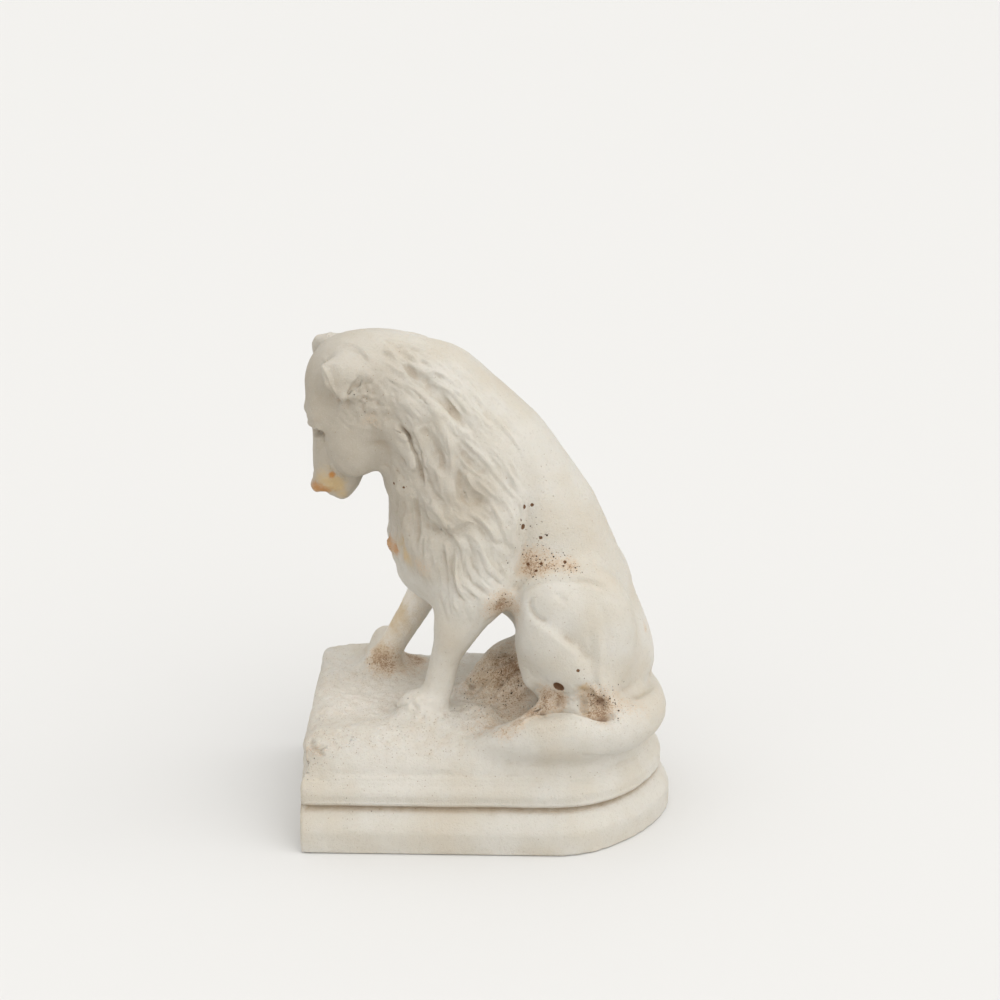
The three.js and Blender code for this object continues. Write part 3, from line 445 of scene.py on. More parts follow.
bodyStrokes = {
    "rumpFold": (-1.6, 1.9, [(44.5, -24, 47.8), (48.4, -18.4, 46.6), (51.3, -11, 46), (52, -3, 46),
        (52, 0, 46)]),
    "foldE": (-0.3, 1.4, [(33.4, -27, 79.9), (35.6, -28.8, 73.4), (37.3, -29.3, 65.5)]),
    "foldD": (0.3, 1.3, [(26.2, -30.3, 67.3), (27.2, -33, 60.5), (27.9, -33, 54)]),
    "foldC": (-0.3, 1.2, [(36, -29.5, 68.5), (36.7, -29.8, 60.7), (36.2, -31.5, 53.5)]),
    "foldB": (0.3, 1.2, [(34.1, -30.2, 68.7), (34.5, -31, 61.1), (34.3, -32.2, 53.7)]),
    "foldA": (-0.35, 1.3, [(31, -30.3, 72), (31.4, -30.7, 64.3), (31.8, -32, 56.3), (31.9, -32.7, 51.3)]),
    "haunchTop": (-0.9, 1.1, [(10.1, -24.6, 81.4), (12.6, -26.2, 83.9), (15.7, -26.5, 85.4),
        (20.5, -26.1, 85.9), (25.4, -25.3, 85.4), (30.9, -24.5, 84.5), (35.3, -24.7, 82.3)]),
    "kneeCrescent": (-0.8, 0.85, [(13, -29, 80.4), (12.4, -29, 77.8), (13.6, -29.6, 75.4),
        (16.1, -30.3, 73.7), (18.2, -31.4, 73.9)]),
    "kneeTop": (-0.45, 1.1, [(20.6, -29.6, 82.6), (21.8, -30.2, 80.9), (24, -30.1, 79.6)]),
    "shinRidge": (0.5, 1.4, [(12.7, -30.4, 73.1), (15.8, -31.9, 71.7), (19.5, -32.7, 70.1),
        (23.2, -32.5, 66.8), (26.9, -32.1, 63.4)]),
    "shinGroove": (-0.6, 1.6, [(22.5, -31, 68.9), (25.6, -30.7, 66.8), (28.7, -30.6, 64.2),
        (31.2, -30.7, 61)]),
    "hockGroove": (-0.5, 1.3, [(31.8, -31.8, 57.5), (33.1, -32.3, 53.8), (34.3, -32.8, 51.3)]),
    "elbowFold": (-0.7, 1, [(-0.7, -23, 70.8), (2.6, -19.8, 71.8), (6.8, -12.9, 70.8)]),
}

nearStrokes = {  # on the photographed side only
    "cavitySlitC": (-0.9, 0.8, [(14.1, -29.1, 44.9), (15.9, -30.6, 43.8), (18.4, -30, 44.6)]),
    "cavitySlitB": (-1, 0.8, [(31.3, -32.2, 50.4), (33.5, -31.8, 47.9), (35.7, -32.4, 45.5)]),
    "cavitySlit": (-1.2, 0.8, [(28.9, -30.1, 47.5), (29.2, -30.8, 45.8), (29.5, -32.8, 44.3)]),
    "tailRim": (0.65, 0.68, [(8.7, -36.5, 40.9), (11.1, -35.3, 42.5), (13.5, -33.4, 43.2),
        (17.5, -32, 43.1), (22.1, -33.7, 43.9), (26.7, -36.8, 44.9), (31.3, -36.7, 43.6),
        (35, -35.8, 42.6)]),
    "tailTop": (-1.89, 0.77, [(10.4, -32.5, 42.6), (13.5, -31.2, 43.6), (17.5, -30.6, 43.9),
        (22.1, -31.3, 44.2), (26.7, -32.6, 44.5), (31.4, -33.8, 43.7), (34.4, -34.2, 43.3),
        (38.1, -33.8, 43.5)]),
    "tailUnder": (-0.35, 1.8, [(13, -36.3, 28.5), (22.3, -36.3, 27.3), (31.6, -33.5, 26.1),
        (41.1, -24.1, 24.8), (51, -11.2, 23.3)]),
    "tailCrease": (-0.4, 1.2, [(28, -38.5, 34), (34, -36.5, 31), (40.5, -31, 29.5)]),
    "crackA": (-1.1, 0.55, [(-55.3, -31.1, 34.4), (-54.7, -33.8, 32.3), (-52.8, -34.5, 31.2),
        (-50.7, -33.9, 32)]),
    "crackB": (-0.9, 0.5, [(-52.8, -34.5, 31.2), (-50.9, -35.2, 29.9)]),
    "pawToeA": (-0.8, 0.6, [(-30.5, -7.5, 37.3), (-27.7, -18.3, 42.9), (-25.2, -18.3, 43.9)]),
    "pawToeB": (-0.8, 0.6, [(-30.2, -17.5, 39), (-29.2, -19.5, 39.6), (-26.9, -21.6, 41.2),
        (-24.3, -21.6, 42.6)]),
    "farPawA": (-0.7, 0.7, [(-39.4, 16.5, 45), (-37.2, 13.7, 44.4), (-34.6, 13.2, 43.5)]),
    "farPawB": (-0.6, 0.7, [(-41.5, 21, 41), (-40.9, 20.2, 44), (-38.9, 19.3, 46.7)]),
}

headStrokes = {
    "earShade": (-0.9, 0.9, [(-49.5, -19.3, 147.8), (-48.3, -20, 144.3), (-47.2, -19.4, 141.1),
        (-46.2, -15.2, 137.1)]),
    "tuftB": (0.5, 0.9, [(-45.9, -15.1, 135.5), (-46.6, -14.5, 133.1), (-47.6, -14.2, 131.5)]),
    "tuftA": (0.7, 1.1, [(-43.8, -20.4, 141.3), (-45.2, -15.4, 137.5), (-45.9, -15, 134.9)]),
    "earRim": (0.45, 0.5, [(-51, -9.6, 150.4), (-49.5, -18.9, 149.3), (-48.8, -19.7, 146.1),
        (-47.7, -20.1, 143.1), (-46.3, -19.6, 140.5)]),
    "earHollow": (-0.8, 1.8, [(-48, -17.6, 151.1), (-47.6, -19.2, 148.5), (-47, -20, 145.2),
        (-45.9, -20.2, 142.2)]),
    "earBack": (-0.7, 1.1, [(-38.6, -19.2, 147.9), (-39.2, -19.8, 145.6), (-40.4, -20.1, 143.2),
        (-41.9, -20.4, 141)]),
    "earRidge": (0.72, 0.6, [(-44.3, -8.3, 154.5), (-41.2, -9.5, 154.2), (-38.2, -12.2, 153.3),
        (-36.3, -14.2, 151)]),
    "earGroove": (-0.45, 0.7, [(-44.1, -10.9, 153.9), (-41.2, -12.4, 153.6), (-38.7, -13.4, 152.7),
        (-36.8, -14.8, 150.5)]),
    "eyeSlit": (-2.3, 0.9, [(-55.5, -2.8, 125.3), (-52.6, -12.1, 127), (-51.8, -10.7, 125)]),
    "brow": (0.78, 0.72, [(-55.9, -6.1, 129.6), (-55.2, -9.1, 129.4), (-53.1, -12.5, 129.5),
        (-51.3, -12.4, 127.9)]),
    "lowerLid": (0.52, 0.54, [(-55.6, -6.8, 124.8), (-54.3, -9.8, 124.9), (-53, -11, 124.7)]),
    "muzzleLine": (-0.3, 1, [(-51.5, -10.6, 124.1), (-50.6, -11.2, 121), (-49.8, -11, 118.1),
        (-49.3, -10.2, 115.6)]),
    "lipFold": (0.8, 0.5, [(-49.2, -10.9, 117.4), (-47.5, -9.8, 114.5), (-45.6, -7.9, 111.4)]),
    "mouth": (-0.25, 0.6, [(-54.8, -4.5, 109.4), (-51.5, -8, 110.3), (-49.2, -9.1, 110.6),
        (-47.2, -8.4, 109), (-45.6, -7.2, 107.4)]),
    "nostril": (-0.6, 0.6, [(-56.3, -2.6, 110.2), (-56, -3.6, 110.8)]),
    "noseTop": (-0.35, 0.8, [(-56.6, -4.4, 112.4), (-57.2, 0, 113.2)]),
    "jawFold": (-0.3, 1.2, [(-45.6, -10.9, 121.4), (-43.6, -12.8, 117.8), (-41.6, -11.8, 114.8)]),
}

carvingSetup = {
    "farWander": 0.5,  # how far the hidden side's strokes stray
    "taper": 0.12,  # share of a stroke's length over which its ends fade
    "bluntEnd": 0.15,
    "reach": 2.6,  # in half widths
}


def roundedPath(points, times=2):
    path = np.array(points, float)
    for _ in range(times):
        before, after = path[:-1], path[1:]
        cut = np.stack([before * 0.75 + after * 0.25, before * 0.25 + after * 0.75], 1).reshape(-1, 3)
        path = np.vstack([path[:1], cut, path[-1:]])
    return path


def laidOnSurface(tree, path):
    return np.array([tree.find_nearest(Vector(point) * mm)[0] for point in path]) / mm


def distanceToPath(points, path):
    # the gap from each point to the path, and the share of the path's length at which it is met
    legs = np.diff(path, axis=0)
    lengths = np.linalg.norm(legs, axis=1) + 1e-9
    starts = np.concatenate([[0], np.cumsum(lengths)])
    gaps = np.full(len(points), np.inf)
    along = np.zeros(len(points))
    for start, leg, length, done in zip(path, legs, lengths, starts):
        share = np.clip((points - start) @ leg / length ** 2, 0, 1)
        gap = np.linalg.norm(points - start - share[:, None] * leg, axis=1)
        closer = gap < gaps
        gaps[closer] = gap[closer]
        along[closer] = (done + share[closer] * length) / starts[-1]
    return gaps, along


def strokeHeights(points, tree, strokes, side, rng, setup):
    ridges = np.zeros(len(points))
    grooves = np.zeros(len(points))
    for height, width, line in strokes.values():
        path = roundedPath(line)
        if side < 0:
            path = path * (1, -1, 1) + rng.normal(0, setup["farWander"], 3)
        path = laidOnSurface(tree, path)
        reach = width * setup["reach"]
        boxed = (points > path.min(0) - reach) & (points < path.max(0) + reach)
        near = np.nonzero(boxed.all(axis=1))[0]
        gap, along = distanceToPath(points[near], path)
        ends = np.clip(np.minimum(along, 1 - along) / setup["taper"], setup["bluntEnd"], 1)
        relief = height * np.sqrt(ends) * np.exp(-(gap / width) ** 2)
        if height > 0:
            ridges[near] = np.maximum(ridges[near], relief)
        else:
            grooves[near] = np.minimum(grooves[near], relief)
    return ridges + grooves


def carve(piece, tree, strokes, sides=(1, -1), seed=3, setup=carvingSetup):
    rng = np.random.default_rng(seed)
    points = meshPoints(piece)
    heights = sum(strokeHeights(points, tree, strokes, side, rng, setup) for side in sides)
    pushPoints(piece, heights)


# The fall of the hair: fine locks that follow the strokes

furSetup = {
    "edgeFade": 5,
    "gridStep": 1.5,
    "margin": 4,
    "flowSharpness": 3,
    "streakStep": 0.8,
    "streakReach": 8,
    "middle": 0.85,  # taken off so that the mane keeps its size
    "layers": [
        # size of the locks, height, how sharp the valleys are, seed
        (3.2, 0.56, 0.14, 11),
        (1.5, 0.3, 0.1, 12),
        (0.8, 0.1, 0.08, 13),
    ],
}


def hairFlow(strokeSets, setup):
    # a grid over x and z of the direction that the nearest strokes run in
    starts, legs = [], []
    for strokes in strokeSets:
        for _, _, line in strokes.values():
            path = roundedPath(line, 1)[:, [0, 2]]
            starts.append((path[1:] + path[:-1]) / 2)
            legs.append(np.diff(path, axis=0))
    starts, legs = np.vstack(starts), np.vstack(legs)
    corners = np.array(hairOutline)
    low = corners.min(0) - setup["margin"]
    counts = np.ceil((corners.max(0) + setup["margin"] - low) / setup["gridStep"]).astype(int)
    gridX, gridZ = np.meshgrid(
        low[0] + np.arange(counts[0]) * setup["gridStep"],
        low[1] + np.arange(counts[1]) * setup["gridStep"], indexing="ij",
    )
    away = np.hypot(gridX[..., None] - starts[:, 0], gridZ[..., None] - starts[:, 1])
    weight = 1 / (away + 1) ** setup["flowSharpness"]
    flow = weight @ legs
    flow /= np.linalg.norm(flow, axis=-1, keepdims=True) + 1e-9

    def flowAt(points):
        cell = np.clip((points[:, [0, 2]] - low) / setup["gridStep"], 0, counts - 1.001)
        first = cell.astype(int)
        share = cell - first
        mix = 0
        for i in (0, 1):
            for k in (0, 1):
                weight = np.abs((1 - i - share[:, 0]) * (1 - k - share[:, 1]))
                column, row = np.minimum(first + (i, k), counts - 1).T
                mix = mix + weight[:, None] * flow[column, row]
        return mix
    return flowAt


def streaks(points, flowAt, size, seed, setup):
    total = latticeNoise(points, size, seed)
    for way in (1, -1):
        spot = points.copy()
        for _ in range(setup["streakReach"]):
            flow = flowAt(spot)
            spot[:, 0] += way * setup["streakStep"] * flow[:, 0]
            spot[:, 2] += way * setup["streakStep"] * flow[:, 1]
            total += latticeNoise(spot, size, seed)
    return total / total.std()


def combHair(piece, setup):
    points = meshPoints(piece)
    share = hairShare(points, setup["edgeFade"])
    furry = np.nonzero(share > 0)[0]
    flowAt = hairFlow([maneStrokes, chestStrokes, featherStrokes], setup)
    heights = np.zeros(len(points))
    for size, height, valley, seed in setup["layers"]:
        wave = streaks(points[furry], flowAt, size, seed, setup)
        heights[furry] += height * share[furry] * (np.sqrt(wave ** 2 + valley) - setup["middle"])
    pushPoints(piece, heights)


print("carving")
combHair(stone, furSetup)
stoneTree = BVHTree.FromObject(stone, bpy.context.evaluated_depsgraph_get())
carve(stone, stoneTree, {**maneStrokes, **chestStrokes, **featherStrokes})
carve(stone, stoneTree, {**bodyStrokes, **headStrokes}, seed=6)
carve(stone, stoneTree, nearStrokes, sides=(1,))


# Hollows, pits and knobs: centre, radius, height

dabs = {
    "cavityLeft": ((15.6, -29.3, 45.2), 3, -2.2),
    "cavityMiddle": ((21.2, -29.8, 46), 2.2, -1.7),
    "cavityRight": ((34.2, -32.6, 46), 3.2, -2),
    "cavityRightLow": ((30.4, -31.6, 45.8), 1.8, -1.2),
    "cavityOlive": ((29.8, -32, 50.6), 2.4, -1.5),
    "cavityRidge": ((32.8, -32.4, 49.7), 1.1, 0.8),
    "column": ((25.4, -31.2, 47.5), 1.8, 0.8),
    "chestNub": ((-31.2, -4.5, 89.3), 2.6, 1.7),
    "chestStep": ((-29.4, -7.6, 84.6), 2.2, -0.9),
    "tailRootHollow": ((45.5, -27.5, 47.5), 3, -0.5),
    "elbowHollow": ((3.6, -23.8, 76), 3.4, -0.8),
    "cheekHollow": ((-35.5, -15.5, 124), 5.5, -0.8),
    "behindEar": ((-37.8, -18.5, 144.5), 3, -1.9),
    "underEar": ((-40, -20, 141), 2.6, -1.4),
    "farEarDip": ((-47.6, 8, 155), 2.4, -1.3),
    "noseTip": ((-55.6, -2.5, 107), 2.6, 0.9),
    "noseTipFar": ((-55.6, 2.5, 107), 2.6, 0.9),
    "moundSkirtA": ((-9.5, -4, 37.5), 4.5, 3.2),
    "moundSkirtB": ((-7, -12, 37.5), 5, 2.2),
    "moundSkirtC": ((-2, -18, 37.5), 5, 1.6),
    "moundSide": ((-4.5, -3.5, 41.5), 4.5, 1.6),
    "moundTop": ((1, -1.5, 49.5), 4, 0.8),
    "seamChip": ((8.6, -22.5, 81.6), 1.3, -0.8),
    "pawHeap": ((-20.5, -21.5, 38.5), 5, 0.9),
    "cornerChip": ((-58.2, -37.5, 28), 4.6, -2.5),
    "lobeCut": ((-40.1, -20.1, 141.9), 2.4, -1.1),
    "templeLow": ((-49, -13.9, 139), 3, -0.8),
    "moundLeft": ((-6, -2, 44), 5, 1.6),
    "pawLump": ((-25.1, -20.1, 43.3), 4.2, 1.3),
    "pawLumpLow": ((-20.5, -23, 40.2), 3.2, 0.8),
    "templeHollow": ((-53, -13, 139), 5, -0.9),
    "mouthNotch": ((-52.6, -4, 106), 1.5, -1.3),
    "eyeCorner": ((-52.9, -11.6, 126.8), 1.3, -1.6),
    "shankBase": ((12.2, -23.5, 50.5), 3.6, 1.5),
}

dabSetup = {
    "reach": 2.2,  # in radii
    "rough": 0.45,
    "roughSize": 1.6,  # bumps to a radius
    "seed": 21,
}


def pressDabs(piece, tree, marks, setup):
    points = meshPoints(piece)
    heights = np.zeros(len(points))
    for centre, radius, height in marks.values():
        spot = laidOnSurface(tree, [centre])[0]
        away = np.linalg.norm(points - spot, axis=1) / radius
        near = away < setup["reach"]
        jitter = 1 + setup["rough"] * latticeNoise(points[near], radius / setup["roughSize"], setup["seed"])
        heights[near] += height * jitter * np.exp(-(away[near] * jitter) ** 2)
    pushPoints(piece, heights)


pressDabs(stone, stoneTree, dabs, dabSetup)

bubbleSizes = [
    # round holes left by bubbles in the cast: radius, depth, centres
    (1.5, 1.3, [(21.6, -30.5, 51.9)]),
    (0.75, 0.6, [(10.1, -19.8, 100.3)]),
    (0.6, 0.5, [(10.6, -19.2, 106.4)]),
    (0.45, 0.4, [
        (27.5, -32.9, 58.4), (13, -18, 106.7), (9.4, -20.6, 102.6), (15.8, -19.6, 96.6),
        (15.9, -20.3, 88.4), (14.4, -22.3, 86.8), (15.9, -25.5, 86), (11.9, -20, 88.2),
        (23.2, -19.5, 88.8), (-29.3, -13.8, 112), (-26.2, -17.8, 112), (-23.9, -19.9, 110.1),
    ]),
]
bubbles = [(centre, radius, depth) for radius, depth, centres in bubbleSizes for centre in centres]

bubbleSetup = {
    "mouth": 1.15,  # the bowl's edge, in radii squared
    "darkening": (1.35, 1.1),  # where its darkening ends and where it is full, in radii
    "ragged": 0.35,
    "darkness": 0.97,
}


def pressBubbles(piece, tree, holes, setup):
    points = meshPoints(piece)
    shift = np.zeros_like(points)
    for centre, radius, depth in holes:
        spot, normal, _, _ = tree.find_nearest(Vector(centre) * mm)
        spot, normal = np.array(spot) / mm, np.array(normal)
        away = np.linalg.norm(points - spot, axis=1) / radius
        bowl = np.sqrt(np.clip(setup["mouth"] - away ** 2, 0, None) / setup["mouth"])
        shift -= normal * (depth * bowl)[:, None]
    setPoints(piece, points + shift)


pressBubbles(stone, stoneTree, bubbles, bubbleSetup)


# The moulding's true profile, and its uneven faces

mouldingSetup = {
    # how far in from the block's outline the solid's profile and the wanted one stand, at each height
    "heights": (
        0, 0.8, 7, 8.2, 10, 10.8, 12, 13.2, 14.2, 15.2,
        16, 17.2, 18.4, 19.4, 20.6, 21.6, 22.8, 23.6, 24.6, 26,
    ),
    "solid": (
        0, 0, 0, 0, 0, 0, 0.17, 0.71, 1.6, 4.4, 4.65, 3.65, 3.15, 3, 3.2, 3.65, 4.75, 5.9, 6.2, 6.4,
    ),
    "wanted": (
        0.4, 0, 0, 0.3, 1.2, 1.6, 2.6, 3.7, 4.8, 4.5, 3.9, 3.2, 2.85, 2.95, 3.6, 4.5, 5.3, 5.75, 6.05, 6.4,
    ),
    "facing": (0.05, 0.3),  # how far sideways a face looks for the profile to hold
    "topFade": (24.6, 26),
    "flatEnd": (-55.5, -52),
    "halfDepth": 43,
    "endFade": (0.3, 3.5),
    "waves": [(14, 0.2, 41), (5, 0.1, 42), (1.6, 0.06, 43)],
    "waveFoot": (0.3, 1.2),
    "waveTop": (24, 28),
}


def mouldingReach(points, normals, setup):
    # each point's way out, and the profile's hold on it
    level = np.linalg.norm(normals[:, :2], axis=1)
    out = normals[:, :2] / (level[:, None] + 1e-9)
    share = smoothStep(*setup["facing"], level)
    # at the flat left end the profile only runs out along the two long sides
    end = 1 - smoothStep(*setup["flatEnd"], points[:, 0])
    inward = setup["halfDepth"] - np.abs(points[:, 1])
    inward -= np.interp(points[:, 2], setup["heights"], setup["solid"])
    share = share * (1 - end) + (1 - smoothStep(*setup["endFade"], inward)) * end
    out[:, 0] *= 1 - end
    out[:, 1] = out[:, 1] * (1 - end) + np.sign(points[:, 1]) * end
    share *= 1 - smoothStep(*setup["topFade"], points[:, 2])
    return out, share


def shapeMoulding(piece, setup):
    points = meshPoints(piece)
    out, share = mouldingReach(points, meshNormals(piece), setup)
    profile = np.subtract(setup["solid"], setup["wanted"])
    shift = np.interp(points[:, 2], setup["heights"], profile) * share
    points[:, :2] += out * shift[:, None]
    for size, height, seed in setup["waves"]:
        block = between(setup["waveFoot"], setup["waveTop"], points[:, 2])
        wave = share * block * height * (latticeNoise(points, size, seed) - 1)
        points[:, :2] += out * wave[:, None]
    setPoints(piece, points)


shapeMoulding(stone, mouldingSetup)


# Rough ground under the dog

groundSetup = {
    "rise": (24, 27),
    "fade": (39, 43),
    "upward": (0.35, 0.8),
    "sideShare": 0.3,  # how much of it the steep faces get
    "layers": [(7, 0.45, 31), (2.8, 0.34, 32), (1.2, 0.22, 33)],
    "skin": [(3.5, 0.07, 36), (1.4, 0.06, 37)],  # the slight unevenness of the whole piece
    "foot": (0.2, 1.5),
    "stretch": 0.35,  # leaning ridges are this much narrower across
    "patches": [
        # rough places: centre, radius, how steeply their ridges rise to the right, layers
        ((2, -4, 45), 13, 0.8, [(3.2, 2, 34), (1.3, 1, 35)]),
        ((-37, -16, 138), 8, 0, [(2.4, 0.7, 38), (1.1, 0.65, 39)]),
        ((-43, -15.5, 133), 4, -1, [(1.1, 0.4, 40)]),
        ((-22, -21, 40), 6, 0, [(2.6, 0.7, 44), (1.2, 0.4, 45)]),
    ],
}


def addPatches(heights, points, setup):
    for centre, radius, lean, layers in setup["patches"]:
        patch = np.exp(-(np.linalg.norm(points - centre, axis=1) / radius) ** 4)
        slanted = points.copy()
        slanted[:, 0] = (points[:, 0] + points[:, 2] * lean) * (setup["stretch"] if lean else 1)
        slanted[:, 2] = points[:, 2] - points[:, 0] * lean
        for size, height, seed in layers:
            heights += patch * height * latticeNoise(slanted, size, seed)


def roughenGround(piece, setup):
    points = meshPoints(piece)
    upward = smoothStep(*setup["upward"], meshNormals(piece)[:, 2])
    level = between(setup["rise"], setup["fade"], points[:, 2])
    heights = np.zeros(len(points))
    for size, height, seed in setup["layers"]:
        heights += height * latticeNoise(points, size, seed)
    heights *= level * (setup["sideShare"] + (1 - setup["sideShare"]) * upward)
    raised = smoothStep(*setup["foot"], points[:, 2])  # the foot stays flat
    for size, height, seed in setup["skin"]:
        heights += height * raised * latticeNoise(points, size, seed)
    addPatches(heights, points, setup)
    pushPoints(piece, heights)


roughenGround(stone, groundSetup)


# Finishing

finishSetup = {"triangles": 190000, "hollowPasses": 14}


def thinFaces(piece, triangles):
    piece.data.calc_loop_triangles()
    share = triangles / len(piece.data.loop_triangles)
    if share < 1:
        addAndApply(piece, "thin", "DECIMATE", ratio=share)


print("thinning")
thinFaces(stone, finishSetup["triangles"])
makeActive(stone)
bpy.ops.object.shade_smooth()


def markHollows(piece, passes):
    # how far each point lies below its smoothed surroundings, in millimetres
    points = meshPoints(piece)
    edges = readMesh(piece.data.edges, "vertices", 2, np.int32)
    count = len(points)
    ends = np.concatenate([edges[:, 0], edges[:, 1]])
    others = np.concatenate([edges[:, 1], edges[:, 0]])
    degree = np.maximum(np.bincount(ends, minlength=count), 1)
    smooth = points.copy()
    for _ in range(passes):
        for axis in range(3):
            smooth[:, axis] = np.bincount(ends, smooth[others, axis], count) / degree
    depth = np.sum((smooth - points) * meshNormals(piece), axis=1)
    writeLayer(piece, "hollow", depth)
    return depth


depth = markHollows(stone, finishSetup["hollowPasses"])
print("  hollows", depth.min().round(2), "to", depth.max().round(2))


# Where the stone is stained, dusty or porous, and where light and shade are painted on it

stainSpots = {
    # layer: (centre, radius, strength), strongest in the middle
    "orange": [
        ((-49.1, -9.7, 113.2), 1.6, 1), ((-54.4, -5.2, 107.6), 3.4, 0.8),
        ((-51.6, -7.2, 107.6), 3.2, 0.62), ((-32, -4, 89.4), 3.6, 1), ((-30, -8, 88), 3, 0.6),
        ((-56, 0, 107.5), 3, 0.6),
    ],
    "yellow": [
        ((-48.8, -7.9, 109.6), 3.6, 0.9), ((-46.8, -5.1, 105.6), 3, 0.6),
        ((-51.5, -8.5, 112), 4.5, 0.6), ((-27.5, 14, 74), 7, 0.75), ((-33, 14.5, 58), 8, 0.7),
        ((-27.5, -11.5, 91.5), 5.5, 0.45), ((-26, -14, 87.5), 4, 0.5), ((-37, 14, 45), 5, 0.6),
        ((0, -6, 44), 10, 0.45), ((29.8, -32, 51.2), 2.6, 0.9),
    ],
    "brown": [
        ((12.4, -21, 87.4), 3.2, 0.95), ((15.8, -21.6, 87.4), 3.2, 0.75), ((20, -21, 88.4), 3, 0.5),
        ((24.6, -20.8, 87.6), 2.8, 0.75), ((12.4, -19.9, 91.4), 3, 0.45), ((16, -20, 91), 3, 0.3),
        ((3.9, -24.2, 75.6), 4.8, 0.95), ((6.2, -17, 71.5), 3.4, 0.9), ((-36.2, -15.4, 132.5), 3.2, 0.2),
        ((4, -4, 47.5), 11, 0.55), ((2, -2, 42), 12, 0.32), ((6, -6.5, 48.5), 4.4, 0.95),
        ((8.4, -11, 41), 5, 0.5), ((6, -18, 38), 7, 0.4), ((15.6, -29.4, 45), 3.4, 1),
        ((21.4, -29.8, 46.2), 2.6, 0.7), ((33.8, -32.4, 46.6), 4.2, 1), ((31, -32.4, 49.6), 3.2, 0.8),
        ((21.6, -30.5, 51.9), 1.4, 1), ((38.5, -30.5, 47), 5, 0.3), ((-37, 14, 43.5), 4.6, 0.8),
        ((-26.5, 22, 38.6), 4.2, 0.75), ((-29, 16, 38.5), 5, 0.4), ((-28, -17.5, 41), 2.2, 0.3),
        ((-24, -9, 37), 6, 0.2), ((-21, -19.3, 86.8), 3.4, 0.4), ((48.9, -5.5, 62.4), 1.6, 0.35),
        # the spot at (-52.6, -12.1, 126.4) is painted shade in the eye under the brow
        ((45, -27.5, 44), 6, 0.2), ((-52.6, -12.1, 126.4), 1.3, 1), ((-28, 27.2, 38.5), 2.8, 1),
        # the spots at (5, -36.5, 39.4), (9, -34.6, 42), (12.6, -31.8, 43.6), (13, -30.5, 44.2), (17.5,
        # -30.2, 44.6), (31.4, -33, 44.5) and (34.8, -33.2, 44.2) are brown dirt and painted shade in the
        # crease above the tail
        ((-25.2, 25.9, 38.3), 2.4, 1), ((-35, 14, 41.5), 4, 0.8), ((5, -36.5, 39.4), 3, 0.55),
        ((9, -34.6, 42), 2.8, 0.7), ((12.6, -31.8, 43.6), 2.4, 0.9), ((17, -28.5, 47.6), 3.2, 1),
        ((21.5, -29.2, 47.8), 2.4, 0.9), ((-1, -27, 37.5), 6, 0.35), ((13, -30.5, 44.2), 1.7, 1),
        ((17.5, -30.2, 44.6), 1.6, 1), ((31.4, -33, 44.5), 1.9, 1), ((34.8, -33.2, 44.2), 2, 1),
        ((-31.6, -4.5, 88.2), 2.8, 0.85), ((-55.6, -3.4, 106.8), 2.4, 0.4),
        ((-57.5, -35, 31), 3.2, 0.35), ((-52.6, -34.4, 31.4), 2, 0.35),
        ((-58.5, -39.5, 24), 3, 0.3),
    ],
    # painted light: paler stone where the body shades the ground, on the mound and on the far leg
    "pale": [
        ((-42, -6, 37), 20, 1), ((-28, 14, 62), 14, 1), ((-30, 12, 50), 9, 0.8),
        ((-24, -30, 37), 13, 0.3), ((2, -4, 44), 14, 1), ((-4, -16, 38), 12, 0.5),
    ],
    # painted shade, warm and darker: on the head's faces turned from the light, under the head and neck,
    # and low between the legs
    "aged": [
        ((-57, -4, 140), 14, 1), ((-6, -23, 108), 9, 0.75), ((-16, -21, 116), 11, 0.7),
        ((-13, -22, 55), 10, 0.35), ((-50, -12, 122), 22, 1), ((-45, -5, 112), 14, 1),
        ((-34, -14, 131), 12, 0.9), ((-30, -14, 100), 14, 0.8), ((-22, -20, 88), 10, 0.5),
        ((-36, -12, 143), 12, 0.6), ((-50, 0, 145), 16, 0.4),
    ],
    "porous": [
        ((13.2, -21.5, 88), 5, 1), ((18.5, -21.5, 88.8), 6, 1), ((24.6, -21, 88), 4.4, 1),
        ((11, -19.5, 103), 5.5, 0.55), ((12.6, -19.8, 94), 6, 0.5), ((4.2, -25.2, 77.5), 4.6, 0.9),
        ((15.6, -29.4, 45), 3.6, 0.7), ((33.8, -32.4, 47.6), 5.6, 0.9), ((41, -29, 47), 7.5, 0.6),
        ((4, -6, 46), 12, 0.8), ((-28, 27.2, 38.5), 6, 0.9), ((-39.9, 14.1, 43.1), 6, 0.6),
        ((-40, -15.5, 139), 7, 0.25), ((0, -16, 37), 13, 0.5), ((-56, -36, 27), 7, 0.5),
        ((-27, -17, 112), 3, 0.4), ((-34, -16, 138), 12, 0.12), ((-30, -22, 38), 14, 0.2),
        ((25, -33, 60), 16, 0.1), ((-45, -41, 21), 12, 0.22), ((-18, -41, 20), 10, 0.15),
        ((-42, -42, 9), 9, 0.15), ((20, -42, 18), 10, 0.15),
    ],
}

dustSetup = {
    "groundFoot": (22, 28),  # the ground's dust comes in and goes out between these heights
    "groundTop": (37.5, 45.5),
    "upward": (0.2, 0.7),
    "grooveFoot": (12.5, 13.5),
    "grooveTop": (14.8, 15.8),
    "flatEnd": -57,
}


def markStains(piece, layers):
    points = meshPoints(piece)
    for name, spots in layers.items():
        clear = np.ones(len(points))
        for centre, radius, strength in spots:
            away = np.linalg.norm(points - centre, axis=1) / radius
            clear *= 1 - strength * np.exp(-away ** 2)
        writeLayer(piece, name, 1 - clear)


